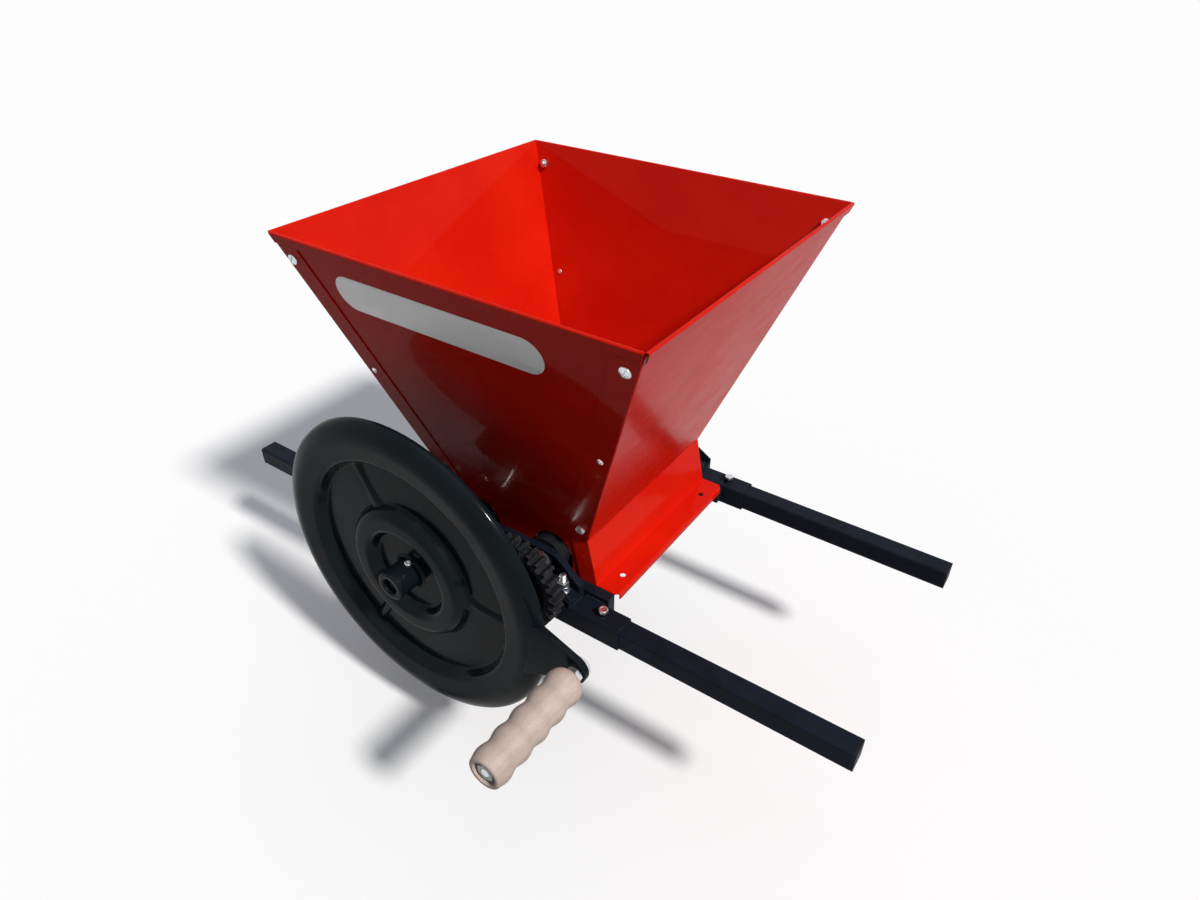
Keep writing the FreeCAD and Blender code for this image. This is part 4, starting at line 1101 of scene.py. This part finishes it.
def lug():
    """Lug that carries the crank bolt, drawn along +X and turned to the crank's angle."""
    half = lug_outline()
    outline = half + [(x, -z) for x, z in half[::-1]]
    count = len(outline)

    def ring(inset, depth):
        """The outline drawn in by a distance, its points at a depth for their place."""
        loop = []
        for index, (x, z) in enumerate(outline):
            before = Vector(outline[index - 1])
            after = Vector(outline[(index + 1) % count])
            along = (after - before).normalized()
            moved = Vector((x, z)) - Vector((-along.y, along.x)) * inset
            loop.append((moved.x, -depth(moved.x), moved.y))
        return loop

    rows = [ring(0, lambda x: ear_back)]
    for step in range(EDGE_STEPS + 1):
        angle = math.radians(90 * step / EDGE_STEPS)
        inset = LUG_EDGE * (1 - math.cos(angle))
        drop = LUG_EDGE * (1 - math.sin(angle))
        rows.append(ring(inset, lambda x, drop=drop: lug_front(x) - drop))
    points, faces = joined(rows)
    last = (len(rows) - 1) * count
    for row in (0, last):
        for index in range(count // 2 - 1):
            across = row + count - 1 - index
            face = (row + index, row + index + 1, across - 1, across)
            faces.append(face if row else face[::-1])
    turn = Matrix.Rotation(-crank_angle, 4, "Y")
    return [turn @ Vector(point) for point in points], faces


SET_SCREW_TURN = math.radians(75)
SET_SCREW_BACK = 26.0
SET_SCREW_FOOT = 10.1
SET_SCREW_LENGTH = 10.4
SET_SCREW_SOCKET = 4.0


def flywheel():
    place = Matrix.Translation((-axle_x, 0, axle_z))
    wheel = Form()
    for shape in (wheel_disc(), wheel_hub(), lug()):
        wheel.add(shape, place)
    wheel.piece("cast_flywheel", "drive", casting, "black_casting", ["flywheel"], 40.0)
    screw = Form()
    outward = Vector((math.cos(SET_SCREW_TURN), 0, math.sin(SET_SCREW_TURN)))
    start = (Vector((-axle_x, -wheel_front + SET_SCREW_BACK, axle_z))
             + outward * SET_SCREW_FOOT)
    screw.add(socket_screw(M8.radius, SET_SCREW_LENGTH, SET_SCREW_SOCKET),
              seated(start, outward, 0.3))
    screw.piece("grub_screw", "drive", zinc, "zinc", ["wheel_set_screw"])


flywheel()


# Crank and grip

def crank():
    place = Vector((crank_x, 0, crank_z))
    bolt = Form()
    seat = place + Vector((0, -ear_back, 0))
    bolt.add(hex_head(M10, M10_HEAD), seated(seat, BACKWARD, 0.35))
    bolt.add(threaded(M10, CRANK_LENGTH, 1.0), seated(seat, FORWARD))
    bolt.piece("crank_pin", "drive", zinc, "zinc", ["crank_bolt"])
    jam = Form()
    jam.add(hex_nut(M10, JAM_NUT), seated(place + Vector((0, -ear_front, 0)), FORWARD, 0.1))
    jam.piece("pin_jam_nut", "drive", zinc, "zinc", ["crank_jam_nut"])
    lock = Form()
    lock_at = grip_far - grip_recess + axial_play + grip_washer
    lock.add(hex_nut(M10, LOCK_NUT), seated(place + Vector((0, -lock_at, 0)), FORWARD, 0.5))
    lock.piece("pin_lock_nut", "drive", darker_zinc, "zinc", ["grip_lock_nut"])


GRIP_STEPS = 140
GRIP_BEADS = 5
GRIP_WAIST = 17.5
GRIP_SWELL = 2.5
GRIP_FULLNESS = 0.85
GRIP_ENDS = ((7.0, 6.0), (2.0, 1.5))  # rounding at the near and far end: along and inward
GRIP_BORE = 5.3
RECESS_RADIUS = 12.5


def grip():
    """Turned grip: five soft beads, a rounded near end and a recess in the far one."""
    length = grip_far - grip_near
    profile = []
    for step in range(GRIP_STEPS + 1):
        s = step / GRIP_STEPS
        swell = math.sin(GRIP_BEADS * math.pi * s) ** 2
        radius = GRIP_WAIST + GRIP_SWELL * swell ** GRIP_FULLNESS
        for share, (along, inward) in zip((s, 1 - s), GRIP_ENDS):
            rounding = min(1.0, share * length / along)
            radius = radius - inward * (1 - math.sqrt(1 - (1 - rounding) ** 2))
        profile.append((radius, -grip_near - length * s))
    foot = -grip_far + grip_recess
    inside = [(13.2, -grip_far), (12.7, -grip_far + 0.3), (RECESS_RADIUS, -grip_far + 0.9),
              (RECESS_RADIUS, foot - 0.6), (11.9, foot), (GRIP_BORE, foot),
              (GRIP_BORE, -grip_near), (10.5, -grip_near)]
    form = Form()
    form.add(on_y(lathed(profile + inside, 72, closed=True)),
             Matrix.Translation((crank_x, 0, crank_z)))
    form.piece("turned_grip", "grip", beech, "beech", ["grip"], 45.0)


crank()
grip()


# Floor, world and lamps

FLOOR_Z = -240.0
FLOOR_FAR = 60000.0
FLOOR_GLOW = 0.06  # its own light, only for rays that show it


def ray_is_seen(tree):
    """One for rays from the camera, from gloss and through glass."""
    path = wired(tree, "ShaderNodeLightPath").outputs
    total = path["Is Camera Ray"]
    for name in ("Is Glossy Ray", "Is Transmission Ray"):
        total = wired(tree, "ShaderNodeMath", {0: total, 1: path[name]},
                      operation="MAXIMUM").outputs[0]
    return total


def floor():
    """Pale ground, low enough for the grip to pass over it at the bottom of its turn."""
    mesh = bpy.data.meshes.new("floor")
    mesh.from_pydata([(x * FLOOR_FAR * MM, y * FLOOR_FAR * MM, FLOOR_Z * MM) for x, y in SQUARE],
                     [], [(0, 1, 2, 3)])
    made = in_scene("floor", mesh)
    paint = bpy.data.materials.new("pale_floor")
    tree = bare_tree(paint)
    seen = ray_is_seen(tree)
    # The first colour lights the object, the second is what the camera sees.
    colour = mixed(tree, seen, (0.18, 0.18, 0.18), (0.95, 0.97, 1.0))
    diffuse = wired(tree, "ShaderNodeBsdfDiffuse", {"Color": colour})
    strength = wired(tree, "ShaderNodeMath", {0: seen, 1: FLOOR_GLOW}, operation="MULTIPLY")
    glow = wired(tree, "ShaderNodeEmission", {"Strength": strength.outputs[0]})
    both = wired(tree, "ShaderNodeAddShader", {0: diffuse.outputs[0], 1: glow.outputs[0]})
    wired(tree, "ShaderNodeOutputMaterial", {"Surface": both.outputs[0]})
    mesh.materials.append(paint)


def sky():
    """Dim, slightly blue light for the object and plain white for the camera."""
    world = bpy.data.worlds.new("studio")
    bpy.context.scene.world = world
    tree = bare_tree(world)
    colour = mixed(tree, ray_is_seen(tree), (0.15, 0.157, 0.17), (1.0, 1.0, 1.0))
    background = wired(tree, "ShaderNodeBackground", {"Color": colour})
    wired(tree, "ShaderNodeOutputWorld", {"Surface": background.outputs[0]})


LAMP_AWAY = 3


def lamp(name, azimuth, elevation, softness, level, colour):
    """Distant soft lamp; level is what it gives a surface that faces it, one for white."""
    data = bpy.data.lights.new(name, "SUN")
    data.angle = math.radians(softness)
    data.energy = level * math.pi
    data.color = colour
    made = in_scene(name, data)
    az = math.radians(azimuth)
    el = math.radians(elevation)
    direction = Vector((math.cos(el) * math.cos(az), math.cos(el) * math.sin(az), math.sin(el)))
    made.location = direction * LAMP_AWAY
    made.rotation_euler = direction.to_track_quat("Z", "Y").to_euler()


floor()
sky()
lamp("key", azimuth=-12.0, elevation=45.0, softness=6.0, level=1.0, colour=(1.0, 0.96, 0.91))
lamp("overhead", azimuth=90.0, elevation=84.0, softness=50.0, level=0.12,
     colour=(0.94, 0.97, 1.0))


# Camera at the photograph's viewing angle

LENS = 24.82
SENSOR = 36.0
CAMERA_PLACE = (0.50387, -0.68922, 0.66267)
CAMERA_FORWARD = (-0.46266, 0.67897, -0.57004)
CAMERA_ROLL = math.radians(0.54)


def camera():
    data = bpy.data.cameras.new("camera")
    data.lens = LENS
    data.sensor_width = SENSOR
    made = in_scene("camera", data)
    forward = Vector(CAMERA_FORWARD).normalized()
    level = forward.cross(UP).normalized()
    upright = level.cross(forward)
    right = level * math.cos(CAMERA_ROLL) + upright * math.sin(CAMERA_ROLL)
    top = upright * math.cos(CAMERA_ROLL) - level * math.sin(CAMERA_ROLL)
    turn = Matrix((right, top, -forward)).transposed()
    made.matrix_world = Matrix.Translation(CAMERA_PLACE) @ turn.to_4x4()
    bpy.context.scene.camera = made


camera()
bpy.context.scene.view_settings.view_transform = "Standard"
